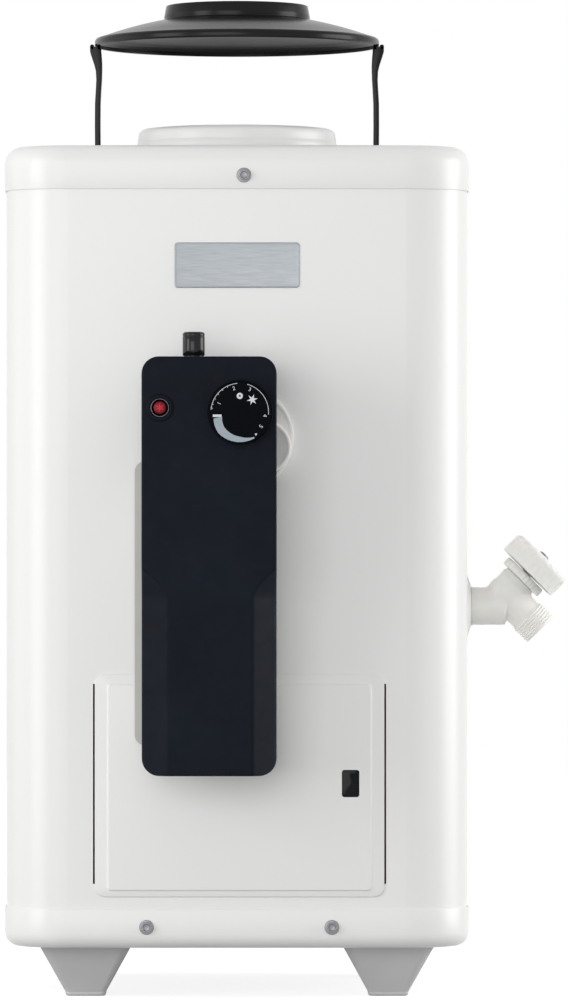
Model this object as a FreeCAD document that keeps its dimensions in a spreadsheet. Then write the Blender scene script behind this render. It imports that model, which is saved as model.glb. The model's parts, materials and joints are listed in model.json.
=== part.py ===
import FreeCAD, Part
import math
import os
import Sketcher
from FreeCAD import Placement, Rotation, Vector

# Floor-standing gas water heater, in millimetres.
# +Z is up, the front faces -Y, the drain valve stands out to +X.
# The origin is on the floor, under the middle of the whole object's box.

document = FreeCAD.newDocument("WaterHeater")
sheet = document.addObject("Spreadsheet::Sheet", "Sizes")

DRIVING_SIZES = [
    # Casing
    ("casing_width", 330.0),
    ("casing_corner", 46.0),
    ("sheet_wall", 1.0),
    ("sheet_gap", 0.3),
    ("jacket_show", 507.7),
    ("seam_width", 12.0),
    ("seam_height", 0.8),
    # Top cover and base tray
    ("cover_depth", 31.2),
    ("cover_round", 12.0),
    ("tray_depth", 27.8),
    ("tray_round", 10.0),
    ("tray_air_hole", 17.0),
    ("tray_air_spread", 52.0),
    # Feet
    ("foot_height", 36.1),
    ("foot_bolt_beyond_tank", 17.03),
    ("foot_top_width", 64.7),
    ("foot_bottom_width", 28.4),
    ("foot_top_corner", 8.0),
    ("foot_bottom_corner", 3.5),
    ("foot_wall", 2.5),
    ("foot_boss", 7.0),
    ("foot_lip", 2.2),
    # Sheet metal screws and foot bolts
    ("washer_radius", 5.2),
    ("washer_height", 1.0),
    ("hex_radius", 4.0),
    ("hex_height", 3.2),
    ("shank_radius", 2.0),
    ("shank_length", 8.0),
    ("shank_gap", 0.15),
    ("cover_screw_drop", 21.7),
    ("cover_screw_x", 4.9),
    ("tray_screw_rise", 15.0),
    ("tray_screw_spread", 65.3),
    ("tray_screw_shift", 1.6),
    ("foot_bolt_radius", 3.0),
    ("foot_bolt_length", 14.0),
    ("foot_bolt_head_radius", 5.4),
    ("foot_bolt_head_height", 3.9),
    # Flue collar, flue tube and baffle
    ("collar_base_radius", 74.3),
    ("collar_shoulder_radius", 71.6),
    ("collar_height", 19.8),
    ("collar_shoulder", 5.0),
    ("collar_lip", 9.0),
    ("flue_radius", 45.0),
    ("flue_wall", 2.0),
    ("flue_below_collar", 2.5),
    ("baffle_wall", 1.2),
    ("baffle_width", 46.0),
    ("baffle_step", 30.0),
    ("baffle_swing", 22.0),
    # Draft hood
    ("hood_wall", 1.2),
    ("hood_rim_radius", 103.5),
    ("hood_rim_above_cover", 80.2),
    ("hood_lip", 6.4),
    ("hood_bead", 3.4),
    ("hood_cone_rise", 12.8),
    ("hood_collar_radius", 51.65),
    ("hood_collar_root", 3.0),
    ("hood_collar_height", 10.5),
    ("leg_inside_rim", 2.3),
    ("leg_thick", 4.1),
    ("leg_width", 14.0),
    ("leg_lean", 1.1),
    ("leg_lean_height", 20.0),
    ("leg_ear", 8.2),
    ("leg_ear_height", 7.0),
    ("leg_prong", 1.6),
    ("leg_flare", 19.0),
    ("leg_tab_width", 8.0),
    ("leg_tab_length", 9.0),
    ("leg_slot_gap", 0.3),
    ("leg_rim_gap", 0.1),
    # Tank, skirt and insulation
    ("tank_radius", 135.0),
    ("tank_wall", 2.0),
    ("tank_above_tray", 203.9),
    ("tank_below_lid", 18.8),
    ("head_rise", 24.0),
    ("skirt_wall", 1.5),
    ("skirt_opening_width", 160.0),
    ("skirt_opening_low", 13.0),
    ("skirt_opening_height", 150.0),
    ("insulation_gap", 0.4),
    ("anode_from_wall", 45.0),
    ("anode_radius", 8.0),
    ("anode_length", 250.0),
    ("anode_head_radius", 12.0),
    ("anode_head_height", 7.0),
    # Water connections at the rear
    ("nipple_radius", 10.67),
    ("nipple_bore", 7.9),
    ("nipple_inner_radius", 10.2),
    ("nipple_reach", 25.0),
    ("nipple_spread", 70.0),
    ("cold_above_tank_low", 50.0),
    ("hot_below_tank_high", 40.0),
    ("hole_gap", 0.4),
    # Nameplate
    ("nameplate_width", 88.1),
    ("nameplate_height", 31.9),
    ("nameplate_corner", 2.4),
    ("nameplate_thick", 0.8),
    ("nameplate_rise", 517.7),
    # Access door
    ("door_x", 1.8),
    ("door_width", 204.0),
    ("door_low", 72.6),
    ("door_high", 229.6),
    ("door_wall", 0.9),
    ("door_corner", 7.0),
    ("emboss_margin", 8.9),
    ("emboss_from_low", 4.2),
    ("emboss_from_high", 7.0),
    ("emboss_height", 1.3),
    ("emboss_corner", 3.0),
    ("door_flange_depth", 8.0),
    ("slit_from_low", 9.1),
    ("slit_from_high", 7.0),
    ("slit_width", 2.6),
    ("slit_inside", 0.4),
    ("opening_margin", 14.0),
    ("opening_from_low", 19.4),
    ("opening_from_high", 17.6),
    ("hook_from_side", 42.0),
    ("hook_width", 14.0),
    ("hook_above_emboss", 1.5),
    ("hook_slot_height", 4.0),
    ("window_from_side", 23.8),
    ("window_from_low", 79.9),
    ("window_width", 12.3),
    ("window_height", 19.2),
    ("window_corner", 1.8),
    ("window_fit", 0.15),
    # Control cover
    ("cover_stand_off", 28.0),
    ("box_depth", 42.0),
    ("box_left", 66.4),
    ("box_width", 94.0),
    ("box_low", 159.8),
    ("box_high", 451.6),
    ("box_wall", 2.0),
    ("box_corner", 12.0),
    ("bevel_left", 17.8),
    ("bevel_right", 16.5),
    ("bevel_depth", 14.0),
    ("bevel_drop", 168.6),
    ("bevel_run", 21.5),
    ("bevel_end_share", 0.05),
    # Gas control valve
    ("valve_from_left", 14.4),
    ("valve_from_right", 3.6),
    ("valve_height", 105.0),
    ("valve_drop", 11.6),
    ("valve_front_gap", 7.7),
    ("plate_beyond_left", 5.3),
    ("plate_from_right", 3.3),
    ("plate_rise", 20.5),
    ("plate_drop", 72.6),
    ("plate_thick", 2.0),
    ("shank_from_left", 70.6),
    ("shank_drop", 55.7),
    ("valve_shank_radius", 11.0),
    ("bulb_radius", 7.0),
    ("bulb_reach", 68.0),
    ("escutcheon_radius", 36.0),
    ("escutcheon_thick", 3.2),
    ("escutcheon_round", 1.9),
    ("boss_beside_shank", 15.5),
    ("boss_below_shank", 6.4),
    ("boss_radius", 18.7),
    ("boss_height", 8.0),
    ("inlet_from_left", 36.2),
    ("inlet_depth", 21.0),
    ("inlet_radius", 7.75),
    ("inlet_bore", 4.5),
    ("inlet_neck", 7.0),
    ("inlet_show", 17.5),
    ("inlet_gap", 0.5),
    # Dial
    ("dial_from_left", 68.3),
    ("dial_drop", 39.1),
    ("dial_radius", 21.5),
    ("dial_clear", 0.8),
    ("dial_proud", 17.0),
    ("dial_edge", 1.5),
    ("spindle_radius", 4.0),
    ("spindle_flat", 2.6),
    ("spindle_fit", 0.05),
    ("spindle_length", 22.7),
    ("spindle_seat", 8.0),
    ("dial_travel", 4.0),
    # Igniter
    ("igniter_from_left", 12.8),
    ("igniter_drop", 35.8),
    ("bezel_radius", 9.6),
    ("bezel_inner", 6.0),
    ("bezel_height", 1.6),
    ("bezel_neck", 7.6),
    ("button_radius", 4.3),
    ("button_gap", 0.3),
    ("button_proud", 4.2),
    ("button_length", 12.0),
    ("igniter_length", 32.0),
    ("igniter_travel", 3.0),
    # Burner and its supply
    ("burner_rise", 62.0),
    ("burner_radius", 52.0),
    ("burner_height", 16.0),
    ("burner_neck_radius", 13.0),
    ("burner_neck_length", 24.0),
    ("burner_mouth_radius", 7.8),
    ("port_radius", 1.5),
    ("shield_gap", 5.5),
    ("shield_rise", 10.0),
    ("shield_hole", 26.0),
    ("bracket_width", 34.0),
    ("bracket_span", 44.0),
    ("bracket_wall", 2.0),
    ("gas_pipe_radius", 4.0),
    ("pilot_pipe_radius", 2.0),
    ("lead_radius", 1.5),
    ("pipe_spacing", 13.0),
    ("pipe_above_door", 16.4),
    ("pipe_bend", 9.0),
    ("orifice_radius", 6.0),
    ("orifice_height", 14.0),
    ("pilot_stand", 66.0),
    ("pilot_rise", 12.0),
    ("pilot_stem_radius", 3.6),
    ("pilot_hood_radius", 4.8),
    ("pilot_hood_height", 6.0),
    ("probe_radius", 3.0),
    ("probe_tip_radius", 2.1),
    ("probe_tip_height", 9.0),
    ("electrode_pin_radius", 1.2),
    ("electrode_pin_height", 12.0),
    ("pilot_bracket_margin", 4.5),
    # Drain valve
    ("drain_stand_off", 31.6),
    ("drain_above_tank_low", 44.5),
    ("barrel_drop", 8.4),
    ("drain_tilt", 45.0),
    ("barrel_radius", 13.7),
    ("drain_flange_radius", 33.0),
    ("drain_flange_face", 14.9),
    ("drain_flange_height", 6.4),
    ("drain_thread_radius", 10.4),
    ("water_bore", 6.0),
    ("valve_cavity", 9.6),
    ("bonnet_radius", 13.3),
    ("bonnet_length", 15.2),
    ("outlet_radius", 13.44),
    ("outlet_bore", 9.0),
    ("outlet_bore_depth", 18.0),
    ("outlet_passage", 5.5),
    ("outlet_length", 35.7),
    ("outlet_thread_length", 14.0),
    ("outlet_neck_radius", 12.4),
    ("nut_radius", 17.4),
    ("nut_height", 6.0),
    ("handle_radius", 24.2),
    ("handle_base", 22.6),
    ("handle_height", 16.7),
    ("handle_edge", 4.0),
    ("handle_wall", 3.0),
    ("handle_hub", 7.0),
    ("stem_radius", 4.0),
    ("stem_gap", 0.08),
    ("washer_disc_radius", 8.6),
    ("washer_disc_height", 3.0),
    ("seat_depth", 3.0),
    ("seat_port", 4.8),
    ("seat_port_depth", 8.0),
    ("handle_screw_radius", 4.2),
    ("handle_screw_height", 2.0),
]


def fill_sheet():
    """One row for each driving size: its name and its number, with the name as the cell's alias."""
    for row, (alias, number) in enumerate(DRIVING_SIZES, start=1):
        sheet.set("A%d" % row, alias)
        sheet.set("B%d" % row, str(number))
        sheet.setAlias("B%d" % row, alias)
    document.recompute()


class Size:
    """A size that knows both its number and the sheet formula that gives it."""

    def __init__(self, number, formula):
        self.number = float(number)
        self.formula = formula

    def joined(self, sign, other, number):
        return Size(number, "(%s %s %s)" % (self.formula, sign, other.formula))

    def __add__(self, other):
        other = as_size(other)
        return self.joined("+", other, self.number + other.number)

    def __sub__(self, other):
        other = as_size(other)
        return self.joined("-", other, self.number - other.number)

    def __mul__(self, other):
        other = as_size(other)
        return self.joined("*", other, self.number * other.number)

    def __truediv__(self, other):
        other = as_size(other)
        return self.joined("/", other, self.number / other.number)

    def __radd__(self, other):
        return as_size(other) + self

    def __rsub__(self, other):
        return as_size(other) - self

    def __rmul__(self, other):
        return as_size(other) * self

    def __neg__(self):
        return as_size(0) - self


def as_size(value):
    if isinstance(value, Size):
        return value
    return Size(value, "(%r)" % float(value))


def root(value):
    return Size(math.sqrt(value.number), "sqrt(%s)" % value.formula)


def sine(angle):
    return Size(math.sin(math.radians(angle.number)), "sin(%s * 1 deg)" % angle.formula)


def cosine(angle):
    return Size(math.cos(math.radians(angle.number)), "cos(%s * 1 deg)" % angle.formula)


class Sheet:
    """Reads a driving size from the sheet by its alias."""

    def __getattr__(self, alias):
        return Size(float(sheet.get(alias)), "Sizes." + alias)


fill_sheet()
s = Sheet()

# Levels above the floor
tray_z = s.foot_height
tray_top = tray_z + s.tray_depth
cover_edge = tray_top + s.jacket_show
cover_top = cover_edge + s.cover_depth
collar_top = cover_top + s.collar_height
flue_top = collar_top - s.flue_below_collar
hood_rim_z = cover_top + s.hood_rim_above_cover
hood_lip_z = hood_rim_z + s.hood_lip
hood_root_z = hood_lip_z + s.hood_cone_rise
hood_top_z = hood_root_z + s.hood_collar_height

# Distances out from the casing's axis
casing_half = s.casing_width / 2
jacket_half = casing_half - s.sheet_wall - s.sheet_gap
jacket_corner = s.casing_corner - s.sheet_wall - s.sheet_gap
jacket_inside = jacket_half - s.sheet_wall
tray_floor = tray_z + s.sheet_wall
jacket_low = tray_z + s.tray_round + s.sheet_gap
jacket_high = cover_top - s.cover_round - s.sheet_gap

# Tank and skirt
tank_low = tray_z + s.tank_above_tray
tank_high = cover_top - s.tank_below_lid - s.head_rise
tank_height = tank_high - tank_low
cold_rise = tank_low + s.cold_above_tank_low
hot_rise = tank_high - s.hot_below_tank_high
flue_low = tank_low - s.tank_wall
head_edge = s.tank_radius - s.tank_wall - s.sheet_gap
head_crown = (head_edge * head_edge + s.head_rise * s.head_rise) / (s.head_rise * 2)
shield_radius = s.tank_radius - s.skirt_wall - s.shield_gap
anode_x = s.tank_radius - s.anode_from_wall
# The feet's bolts stand outside the skirt, on the casing's diagonals
foot_spread = (s.tank_radius + s.foot_bolt_beyond_tank) * root(as_size(0.5))

# Access door and what lies in its face, from its sides and its two ends
emboss_width = s.door_width - s.emboss_margin * 2
emboss_low = s.door_low + s.emboss_from_low
emboss_high = s.door_high - s.emboss_from_high
slit_low = s.door_low + s.slit_from_low
slit_high = s.door_high - s.slit_from_high
door_opening_width = s.door_width - s.opening_margin * 2
door_opening_low = s.door_low + s.opening_from_low
door_opening_high = s.door_high - s.opening_from_high
hook_spread = s.door_width / 2 - s.hook_from_side
window_x = s.door_x + s.door_width / 2 - s.window_from_side
window_z = s.door_low + s.window_from_low
pipe_entry_z = s.door_high + s.pipe_above_door

# Controls, from the left side and the ends of the control cover
valve_left = s.box_left - s.valve_from_left
valve_width = s.box_width - s.valve_from_left - s.valve_from_right
valve_high = s.box_high - s.valve_drop
valve_low = valve_high - s.valve_height
plate_left = s.box_left + s.plate_beyond_left
plate_width = s.box_width + s.plate_beyond_left - s.plate_from_right
plate_low = s.box_low + s.plate_rise
plate_high = s.box_high - s.plate_drop
shank_x = s.shank_from_left - s.box_left
shank_z = s.box_high - s.shank_drop
boss_x = shank_x + s.boss_beside_shank
boss_z = shank_z - s.boss_below_shank
inlet_x = s.box_left - s.inlet_from_left
dial_x = s.dial_from_left - s.box_left
dial_z = s.box_high - s.dial_drop
igniter_x = s.box_left - s.igniter_from_left
igniter_z = s.box_high - s.igniter_drop
bevel_high = s.box_high - s.bevel_drop

# Control box, measured forward from the casing's axis
box_back = jacket_half + s.cover_stand_off
box_front = box_back + s.box_depth
dial_front = box_front + s.dial_proud
valve_front = box_front - s.valve_front_gap
spindle_front = valve_front - s.dial_travel + s.spindle_length

# Drain valve, and its furthest reach to the right, with a rounded handle edge
drain_x = jacket_half + s.drain_stand_off
drain_z = tank_low + s.drain_above_tank_low
handle_top = s.handle_base + s.handle_height
drain_reach = (drain_x + s.handle_edge + (handle_top - s.handle_edge) * cosine(s.drain_tilt)
               + (s.handle_radius - s.handle_edge) * sine(s.drain_tilt))

# Hood legs
leg_spread = s.hood_rim_radius - s.leg_inside_rim

# The casing's axis, set so that the origin is under the middle of the whole box
rear_reach = casing_half + s.nipple_reach
casing_x = (casing_half - drain_reach) / 2
casing_y = (dial_front - rear_reach) / 2

nodes = []


# Drawing and building helpers

def bind(item, path, value):
    """Give a property its number now and its formula from the sheet."""
    item.setExpression(path, as_size(value).formula)


def number(value):
    return as_size(value).number


def pin(sketch, piece, corner, x, y):
    """Hold one point of a sketch piece at x, y from the sketch's origin."""
    for kind, value, axis in (("DistanceX", x, -2), ("DistanceY", y, -1)):
        if not isinstance(value, Size) and value == 0:
            sketch.addConstraint(Sketcher.Constraint("PointOnObject", piece, corner, axis))
        else:
            index = sketch.addConstraint(Sketcher.Constraint(kind, -1, 1, piece, corner, number(value)))
            bind(sketch, "Constraints[%d]" % index, value)


def fix_radius(sketch, piece, radius):
    index = sketch.addConstraint(Sketcher.Constraint("Radius", piece, number(radius)))
    bind(sketch, "Constraints[%d]" % index, radius)


def circle(x, y, radius):
    """A shape that draws a circle about x, y."""
    def draw(sketch):
        middle = Vector(number(x), number(y), 0)
        piece = sketch.addGeometry(Part.Circle(middle, Vector(0, 0, 1), number(radius)), False)
        fix_radius(sketch, piece, radius)
        pin(sketch, piece, 3, x, y)
    return draw


def box(left, low, right, high):
    """A shape that draws an upright rectangle between two corners."""
    return outline((left, low), (right, low), (right, high), (left, high))


def rounded(x, y, width, height, corner):
    """A shape that draws a rectangle about x, y with four equal round corners."""
    left, right = x - width / 2, x + width / 2
    low, high = y - height / 2, y + height / 2
    return outline((left + corner, low), (right - corner, low), (right, low + corner, corner, 1),
                   (right, high - corner), (right - corner, high, corner, 1),
                   (left + corner, high), (left, high - corner, corner, 1),
                   (left, low + corner), closing=(corner, 1))


def arc_piece(start, end, radius, turn):
    """A sketch arc from start to end: turn 1 runs anticlockwise, -1 clockwise."""
    chord = end - start
    rise = math.sqrt(max(radius ** 2 - (chord.Length / 2) ** 2, 0.0))
    side = Vector(-chord.y, chord.x, 0).normalize() * turn
    middle = (start + end) / 2 + side * rise
    first, last = (start, end) if turn > 0 else (end, start)
    angles = [math.atan2(point.y - middle.y, point.x - middle.x) for point in (first, last)]
    return Part.ArcOfCircle(Part.Circle(middle, Vector(0, 0, 1), radius), angles[0], angles[1])


def outline(*corners, closing=None, closed=True):
    """A shape through corners (x, y). A third and fourth item make the run to that corner an arc
    of that radius, anticlockwise for 1 and clockwise for -1; closing does so for the last run."""
    def draw(sketch):
        count = len(corners)
        runs = count if closed else count - 1
        pieces = []
        for i in range(runs):
            target = corners[(i + 1) % count]
            start = Vector(number(corners[i][0]), number(corners[i][1]), 0)
            end = Vector(number(target[0]), number(target[1]), 0)
            bend = target[2:] if i + 1 < count else closing
            if bend:
                radius, turn = bend
                piece = sketch.addGeometry(arc_piece(start, end, number(radius), turn), False)
                fix_radius(sketch, piece, radius)
            else:
                turn = 1
                piece = sketch.addGeometry(Part.LineSegment(start, end), False)
            pieces.append((piece, 1 if turn > 0 else 2, 2 if turn > 0 else 1))
        for i, (piece, first, last) in enumerate(pieces):
            pin(sketch, piece, first, corners[i][0], corners[i][1])
            if i + 1 < count:
                following = pieces[i + 1] if i + 1 < runs else None
            else:
                following = pieces[0]
            if following:
                sketch.addConstraint(Sketcher.Constraint("Coincident", piece, last,
                                                         following[0], following[1]))
            else:
                pin(sketch, piece, last, corners[i + 1][0], corners[i + 1][1])
    return draw


def place(item, x, y, z, axis=None, angle=0):
    """Stand an item at x, y, z, turned by an angle about an axis."""
    turn = Rotation(Vector(*axis), number(angle)) if axis else Rotation()
    item.Placement = Placement(Vector(number(x), number(y), number(z)), turn)
    for letter, value in (("x", x), ("y", y), ("z", z)):
        bind(item, "Placement.Base." + letter, value)
    if isinstance(angle, Size):
        bind(item, "Placement.Rotation.Angle", angle)


def node(item, name):
    """Name an item as one sub-part to be written."""
    item.Label = name
    nodes.append(item)
    return item


def new_body(name, x=0, y=0, z=0, axis=None, angle=0):
    """An empty body placed from the casing's axis, and listed as a sub-part."""
    item = document.addObject("PartDesign::Body", name)
    place(item, casing_x + x, casing_y + y, as_size(z), axis, angle)
    return node(item, name)


def sketch_on(body, plane, offset, shapes):
    """A sketch on one of the body's own planes, moved out along that plane's normal.
    The normals are +Z for XY, -Y for XZ and +X for YZ."""
    sketch = body.newObject("Sketcher::SketchObject", body.Name + "_sketch")
    origin_plane = [item for item in body.Origin.OriginFeatures if item.Role == plane + "_Plane"][0]
    sketch.AttachmentSupport = (origin_plane, [""])
    sketch.MapMode = "FlatFace"
    sketch.AttachmentOffset = Placement(Vector(0, 0, number(offset)), Rotation())
    bind(sketch, "AttachmentOffset.Base.z", offset)
    for shape in shapes:
        shape(sketch)
    return sketch


def pad(body, plane, offset, length, *shapes):
    """Add material from a sketch along the plane's normal."""
    feature = body.newObject("PartDesign::Pad", body.Name + "_pad")
    feature.Profile = sketch_on(body, plane, offset, shapes)
    bind(feature, "Length", length)
    document.recompute()
    return feature


def cut(body, plane, offset, depth, *shapes, along=False):
    """Take material away from a sketch against the plane's normal, or along it."""
    before = body.Shape.Volume
    feature = body.newObject("PartDesign::Pocket", body.Name + "_cut")
    feature.Profile = sketch_on(body, plane, offset, shapes)
    bind(feature, "Length", depth)
    feature.Reversed = along
    document.recompute()
    if not body.Shape.Volume < before:
        raise RuntimeError("a cut in %s removed nothing" % body.Label)
    return feature


def turned(body, axis, *corners, taken=False):
    """Revolve an outline of (radius, height) corners about the body's X, Y or Z axis."""
    if axis == "X":
        swapped = [(high, radius) + tuple(bend[:1]) + tuple(-side for side in bend[1:])
                   for radius, high, *bend in corners]
        shape, plane, line = outline(*swapped), "XY", "H_Axis"
    else:
        shape, plane, line = outline(*corners), {"Y": "XY", "Z": "XZ"}[axis], "V_Axis"
    kind = "Groove" if taken else "Revolution"
    before = 0 if body.Shape.isNull() else body.Shape.Volume
    feature = body.newObject("PartDesign::" + kind, body.Name + "_turned")
    feature.Profile = sketch_on(body, plane, 0, [shape])
    feature.ReferenceAxis = (feature.Profile[0], [line])
    feature.Angle = 360
    document.recompute()
    if taken and not body.Shape.Volume < before:
        raise RuntimeError("a groove in %s removed nothing" % body.Label)
    return feature


def round_edges(body, radius, wanted):
    """Fillet each edge of the body's last feature that passes the test."""
    base = body.Tip
    names = ["Edge%d" % i for i, edge in enumerate(base.Shape.Edges, start=1) if wanted(edge)]
    if not names:
        raise RuntimeError("no edge to round in " + body.Label)
    feature = body.newObject("PartDesign::Fillet", body.Name + "_fillet")
    feature.Base = (base, names)
    bind(feature, "Radius", radius)
    document.recompute()
    return feature


def edge_at(letter, value):
    """A test for edges that lie wholly at one value of X, Y or Z in the body's own frame."""
    def wanted(edge):
        span = edge.BoundBox
        low, high = getattr(span, letter + "Min"), getattr(span, letter + "Max")
        return abs(low - number(value)) < 0.01 and abs(high - number(value)) < 0.01
    return wanted


def cylinder(name, radius, height, x, y, z, axis=None, angle=0):
    """A round solid from x, y, z along its own Z, placed from the casing's axis."""
    item = document.addObject("Part::Cylinder", name)
    bind(item, "Radius", radius)
    bind(item, "Height", height)
    place(item, casing_x + x, casing_y + y, as_size(z), axis, angle)
    return item


def hexagon(name, radius, height, x, y, z, axis=None, angle=0):
    item = document.addObject("Part::Prism", name)
    item.Polygon = 6
    bind(item, "Circumradius", radius)
    bind(item, "Height", height)
    place(item, casing_x + x, casing_y + y, as_size(z), axis, angle)
    return item


def fused(name, pieces):
    item = document.addObject("Part::MultiFuse", name)
    item.Shapes = pieces
    return item


def less(name, base, tool):
    item = document.addObject("Part::Cut", name)
    item.Base = base
    item.Tool = tool
    return item


def grouped(name, pieces):
    """Like fasteners, each a solid of its own, as one sub-part."""
    item = document.addObject("Part::Compound", name)
    item.Links = pieces
    return node(item, name)


def shelled(body, wall, wanted):
    """Hollow the body to a wall, open at the faces that pass the test."""
    base = body.Tip
    names = ["Face%d" % i for i, face in enumerate(base.Shape.Faces, start=1) if wanted(face)]
    before = body.Shape.Volume
    feature = body.newObject("PartDesign::Thickness", body.Name + "_shell")
    feature.Base = (base, names)
    bind(feature, "Value", wall)
    feature.Reversed = True
    document.recompute()
    if not body.Shape.Volume < before:
        raise RuntimeError("the shell of %s removed nothing" % body.Label)
    return feature


def face_at(letter, value):
    """A test for flat faces that lie at one value of X, Y or Z in the body's own frame."""
    return edge_at(letter, value)


FORWARD = ((1, 0, 0), 90)
BACKWARD = ((1, 0, 0), -90)
SIDES = (("front", -1), ("rear", 1))
HANDS = (("left", -1), ("right", 1))
BURNER_PORTS = 24


# Casing

def jacket_shell():
    """The painted wrapper, with a lock seam at the rear and every hole that something passes."""
    body = new_body("jacket_shell")
    pad(body, "XY", jacket_low, jacket_high - jacket_low,
        rounded(as_size(0), as_size(0), jacket_half * 2, jacket_half * 2, jacket_corner),
        rounded(as_size(0), as_size(0), jacket_inside * 2, jacket_inside * 2,
                jacket_corner - s.sheet_wall))
    pad(body, "XZ", -(jacket_half + s.seam_height), s.seam_height + s.sheet_wall / 2,
        box(-(s.seam_width / 2), tray_top + s.sheet_gap, s.seam_width / 2, cover_edge - s.sheet_gap))
    slits = []
    for hand, side in HANDS:
        inner = s.door_width / 2 - s.door_wall - s.slit_inside
        outer = inner + s.slit_width
        edges = sorted([s.door_x + side * inner, s.door_x + side * outer], key=number)
        slits.append(box(edges[0], slit_low, edges[1], slit_high))
        middle = s.door_x + side * hook_spread
        slot_low = hook_low - s.sheet_wall
        slits.append(box(middle - s.hook_width / 2 - s.sheet_wall, slot_low,
                         middle + s.hook_width / 2 + s.sheet_wall, slot_low + s.hook_slot_height))
    opening = box(s.door_x - door_opening_width / 2, door_opening_low,
                  s.door_x + door_opening_width / 2, door_opening_high)
    shank = circle(shank_x, shank_z, s.valve_shank_radius + s.hole_gap)
    reach = s.sheet_wall * 3
    screws = [circle(x, z, s.shank_radius + s.shank_gap) for x, z in front_screws()]
    cut(body, "XZ", jacket_half + s.sheet_wall, reach, opening, shank, *slits, *pipe_holes(), *screws)
    cut(body, "XZ", -(jacket_half + s.sheet_wall), reach, *water_holes(s.hole_gap), *screws, along=True)
    cut(body, "YZ", jacket_half + s.sheet_wall, reach,
        circle(0, drain_barrel_z, s.drain_thread_radius + s.hole_gap))


def top_cover():
    """The pressed lid, open below, with the flue hole and a slot for each hood leg."""
    body = new_body("top_cover")
    pad(body, "XY", cover_edge, s.cover_depth,
        rounded(as_size(0), as_size(0), s.casing_width, s.casing_width, s.casing_corner))
    round_edges(body, s.cover_round, edge_at("Z", cover_top))
    shelled(body, s.sheet_wall, face_at("Z", cover_edge))
    slots = [box(side * leg_spread - leg_slot_x / 2, -(leg_slot_y / 2),
                 side * leg_spread + leg_slot_x / 2, leg_slot_y / 2) for hand, side in HANDS]
    cut(body, "XY", cover_top + s.sheet_wall, s.sheet_wall * 3,
        circle(0, 0, s.flue_radius + s.sheet_wall + s.hole_gap), *slots)
    hole = circle(s.cover_screw_x, cover_top - s.cover_screw_drop, s.shank_radius + s.shank_gap)
    cut(body, "XZ", casing_half + s.sheet_wall, s.sheet_wall * 3, hole)
    cut(body, "XZ", -(casing_half + s.sheet_wall), s.sheet_wall * 3, hole, along=True)


def base_tray():
    """The pressed tray, open above, with air holes and a hole for each foot's bolt."""
    body = new_body("base_tray")
    pad(body, "XY", tray_z, s.tray_depth,
        rounded(as_size(0), as_size(0), s.casing_width, s.casing_width, s.casing_corner))
    round_edges(body, s.tray_round, edge_at("Z", tray_z))
    shelled(body, s.sheet_wall, face_at("Z", tray_top))
    air = [circle(across * s.tray_air_spread, back * s.tray_air_spread, s.tray_air_hole)
           for across in (-1, 1) for back in (-1, 1)]
    bolts = [circle(x, y, s.foot_bolt_radius + s.shank_gap) for name, x, y in foot_places()]
    cut(body, "XY", tray_floor + s.sheet_wall, s.sheet_wall * 3, *air, *bolts)
    holes = [circle(x, z, s.shank_radius + s.shank_gap) for x, z in tray_screw_places()]
    cut(body, "XZ", casing_half + s.sheet_wall, s.sheet_wall * 3, *holes)
    cut(body, "XZ", -(casing_half + s.sheet_wall), s.sheet_wall * 3, *holes, along=True)


def foot_places():
    """The name and the place of each foot, seen from the front."""
    return [("foot_%s_%s" % (end, hand), side * foot_spread, way * foot_spread)
            for end, way in SIDES for hand, side in HANDS]


def square(width, corner):
    """A square with round corners about the sketch's origin."""
    return rounded(as_size(0), as_size(0), width, width, corner)


def feet():
    """Four tapered feet, hollow from above round a boss for the bolt."""
    for name, x, y in foot_places():
        body = new_body(name, x, y)
        top = sketch_on(body, "XY", s.foot_height, [square(s.foot_top_width, s.foot_top_corner)])
        bottom = sketch_on(body, "XY", s.foot_lip, [square(s.foot_bottom_width, s.foot_bottom_corner)])
        taper = body.newObject("PartDesign::AdditiveLoft", name + "_taper")
        taper.Profile = top
        taper.Sections = [bottom]
        taper.Ruled = True
        document.recompute()
        pad(body, "XY", 0, s.foot_lip, square(s.foot_bottom_width, s.foot_bottom_corner))
        before = body.Shape.Volume
        inside_top = s.foot_top_width - s.foot_wall * 2
        inside_low = s.foot_bottom_width - s.foot_wall * 2
        upper = sketch_on(body, "XY", s.foot_height,
                          [square(inside_top, s.foot_top_corner - s.foot_wall)])
        lower = sketch_on(body, "XY", s.foot_lip + s.foot_wall,
                          [square(inside_low, s.foot_bottom_corner - s.foot_wall)])
        hollow = body.newObject("PartDesign::SubtractiveLoft", name + "_hollow")
        hollow.Profile = upper
        hollow.Sections = [lower]
        hollow.Ruled = True
        document.recompute()
        if not body.Shape.Volume < before:
            raise RuntimeError("the hollow of %s removed nothing" % name)
        pad(body, "XY", s.foot_lip, s.foot_height - s.foot_lip, circle(0, 0, s.foot_boss))
        depth = s.foot_bolt_length - s.sheet_wall + s.sheet_gap
        cut(body, "XY", s.foot_height, depth, circle(0, 0, s.foot_bolt_radius + s.shank_gap))


# Fasteners

def front_screws():
    """Where the cover and tray screws pass the front and the rear wall."""
    return [(s.cover_screw_x, cover_top - s.cover_screw_drop)] + tray_screw_places()


def tray_screw_places():
    return [(s.tray_screw_shift + side * s.tray_screw_spread, tray_z + s.tray_screw_rise)
            for hand, side in HANDS]


def sheet_screw(name, x, y, z, facing):
    """A hex washer head screw whose washer lies on the point x, y, z."""
    axis, angle = facing
    way = -1 if facing == FORWARD else 1
    under = y - way * s.shank_length
    parts = [cylinder(name + "_washer", s.washer_radius, s.washer_height, x, y, z, axis, angle),
             hexagon(name + "_head", s.hex_radius, s.hex_height, x, y, z, axis, angle),
             cylinder(name + "_shank", s.shank_radius, s.shank_length, x, under, z, axis, angle)]
    return fused(name, parts)


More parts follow.
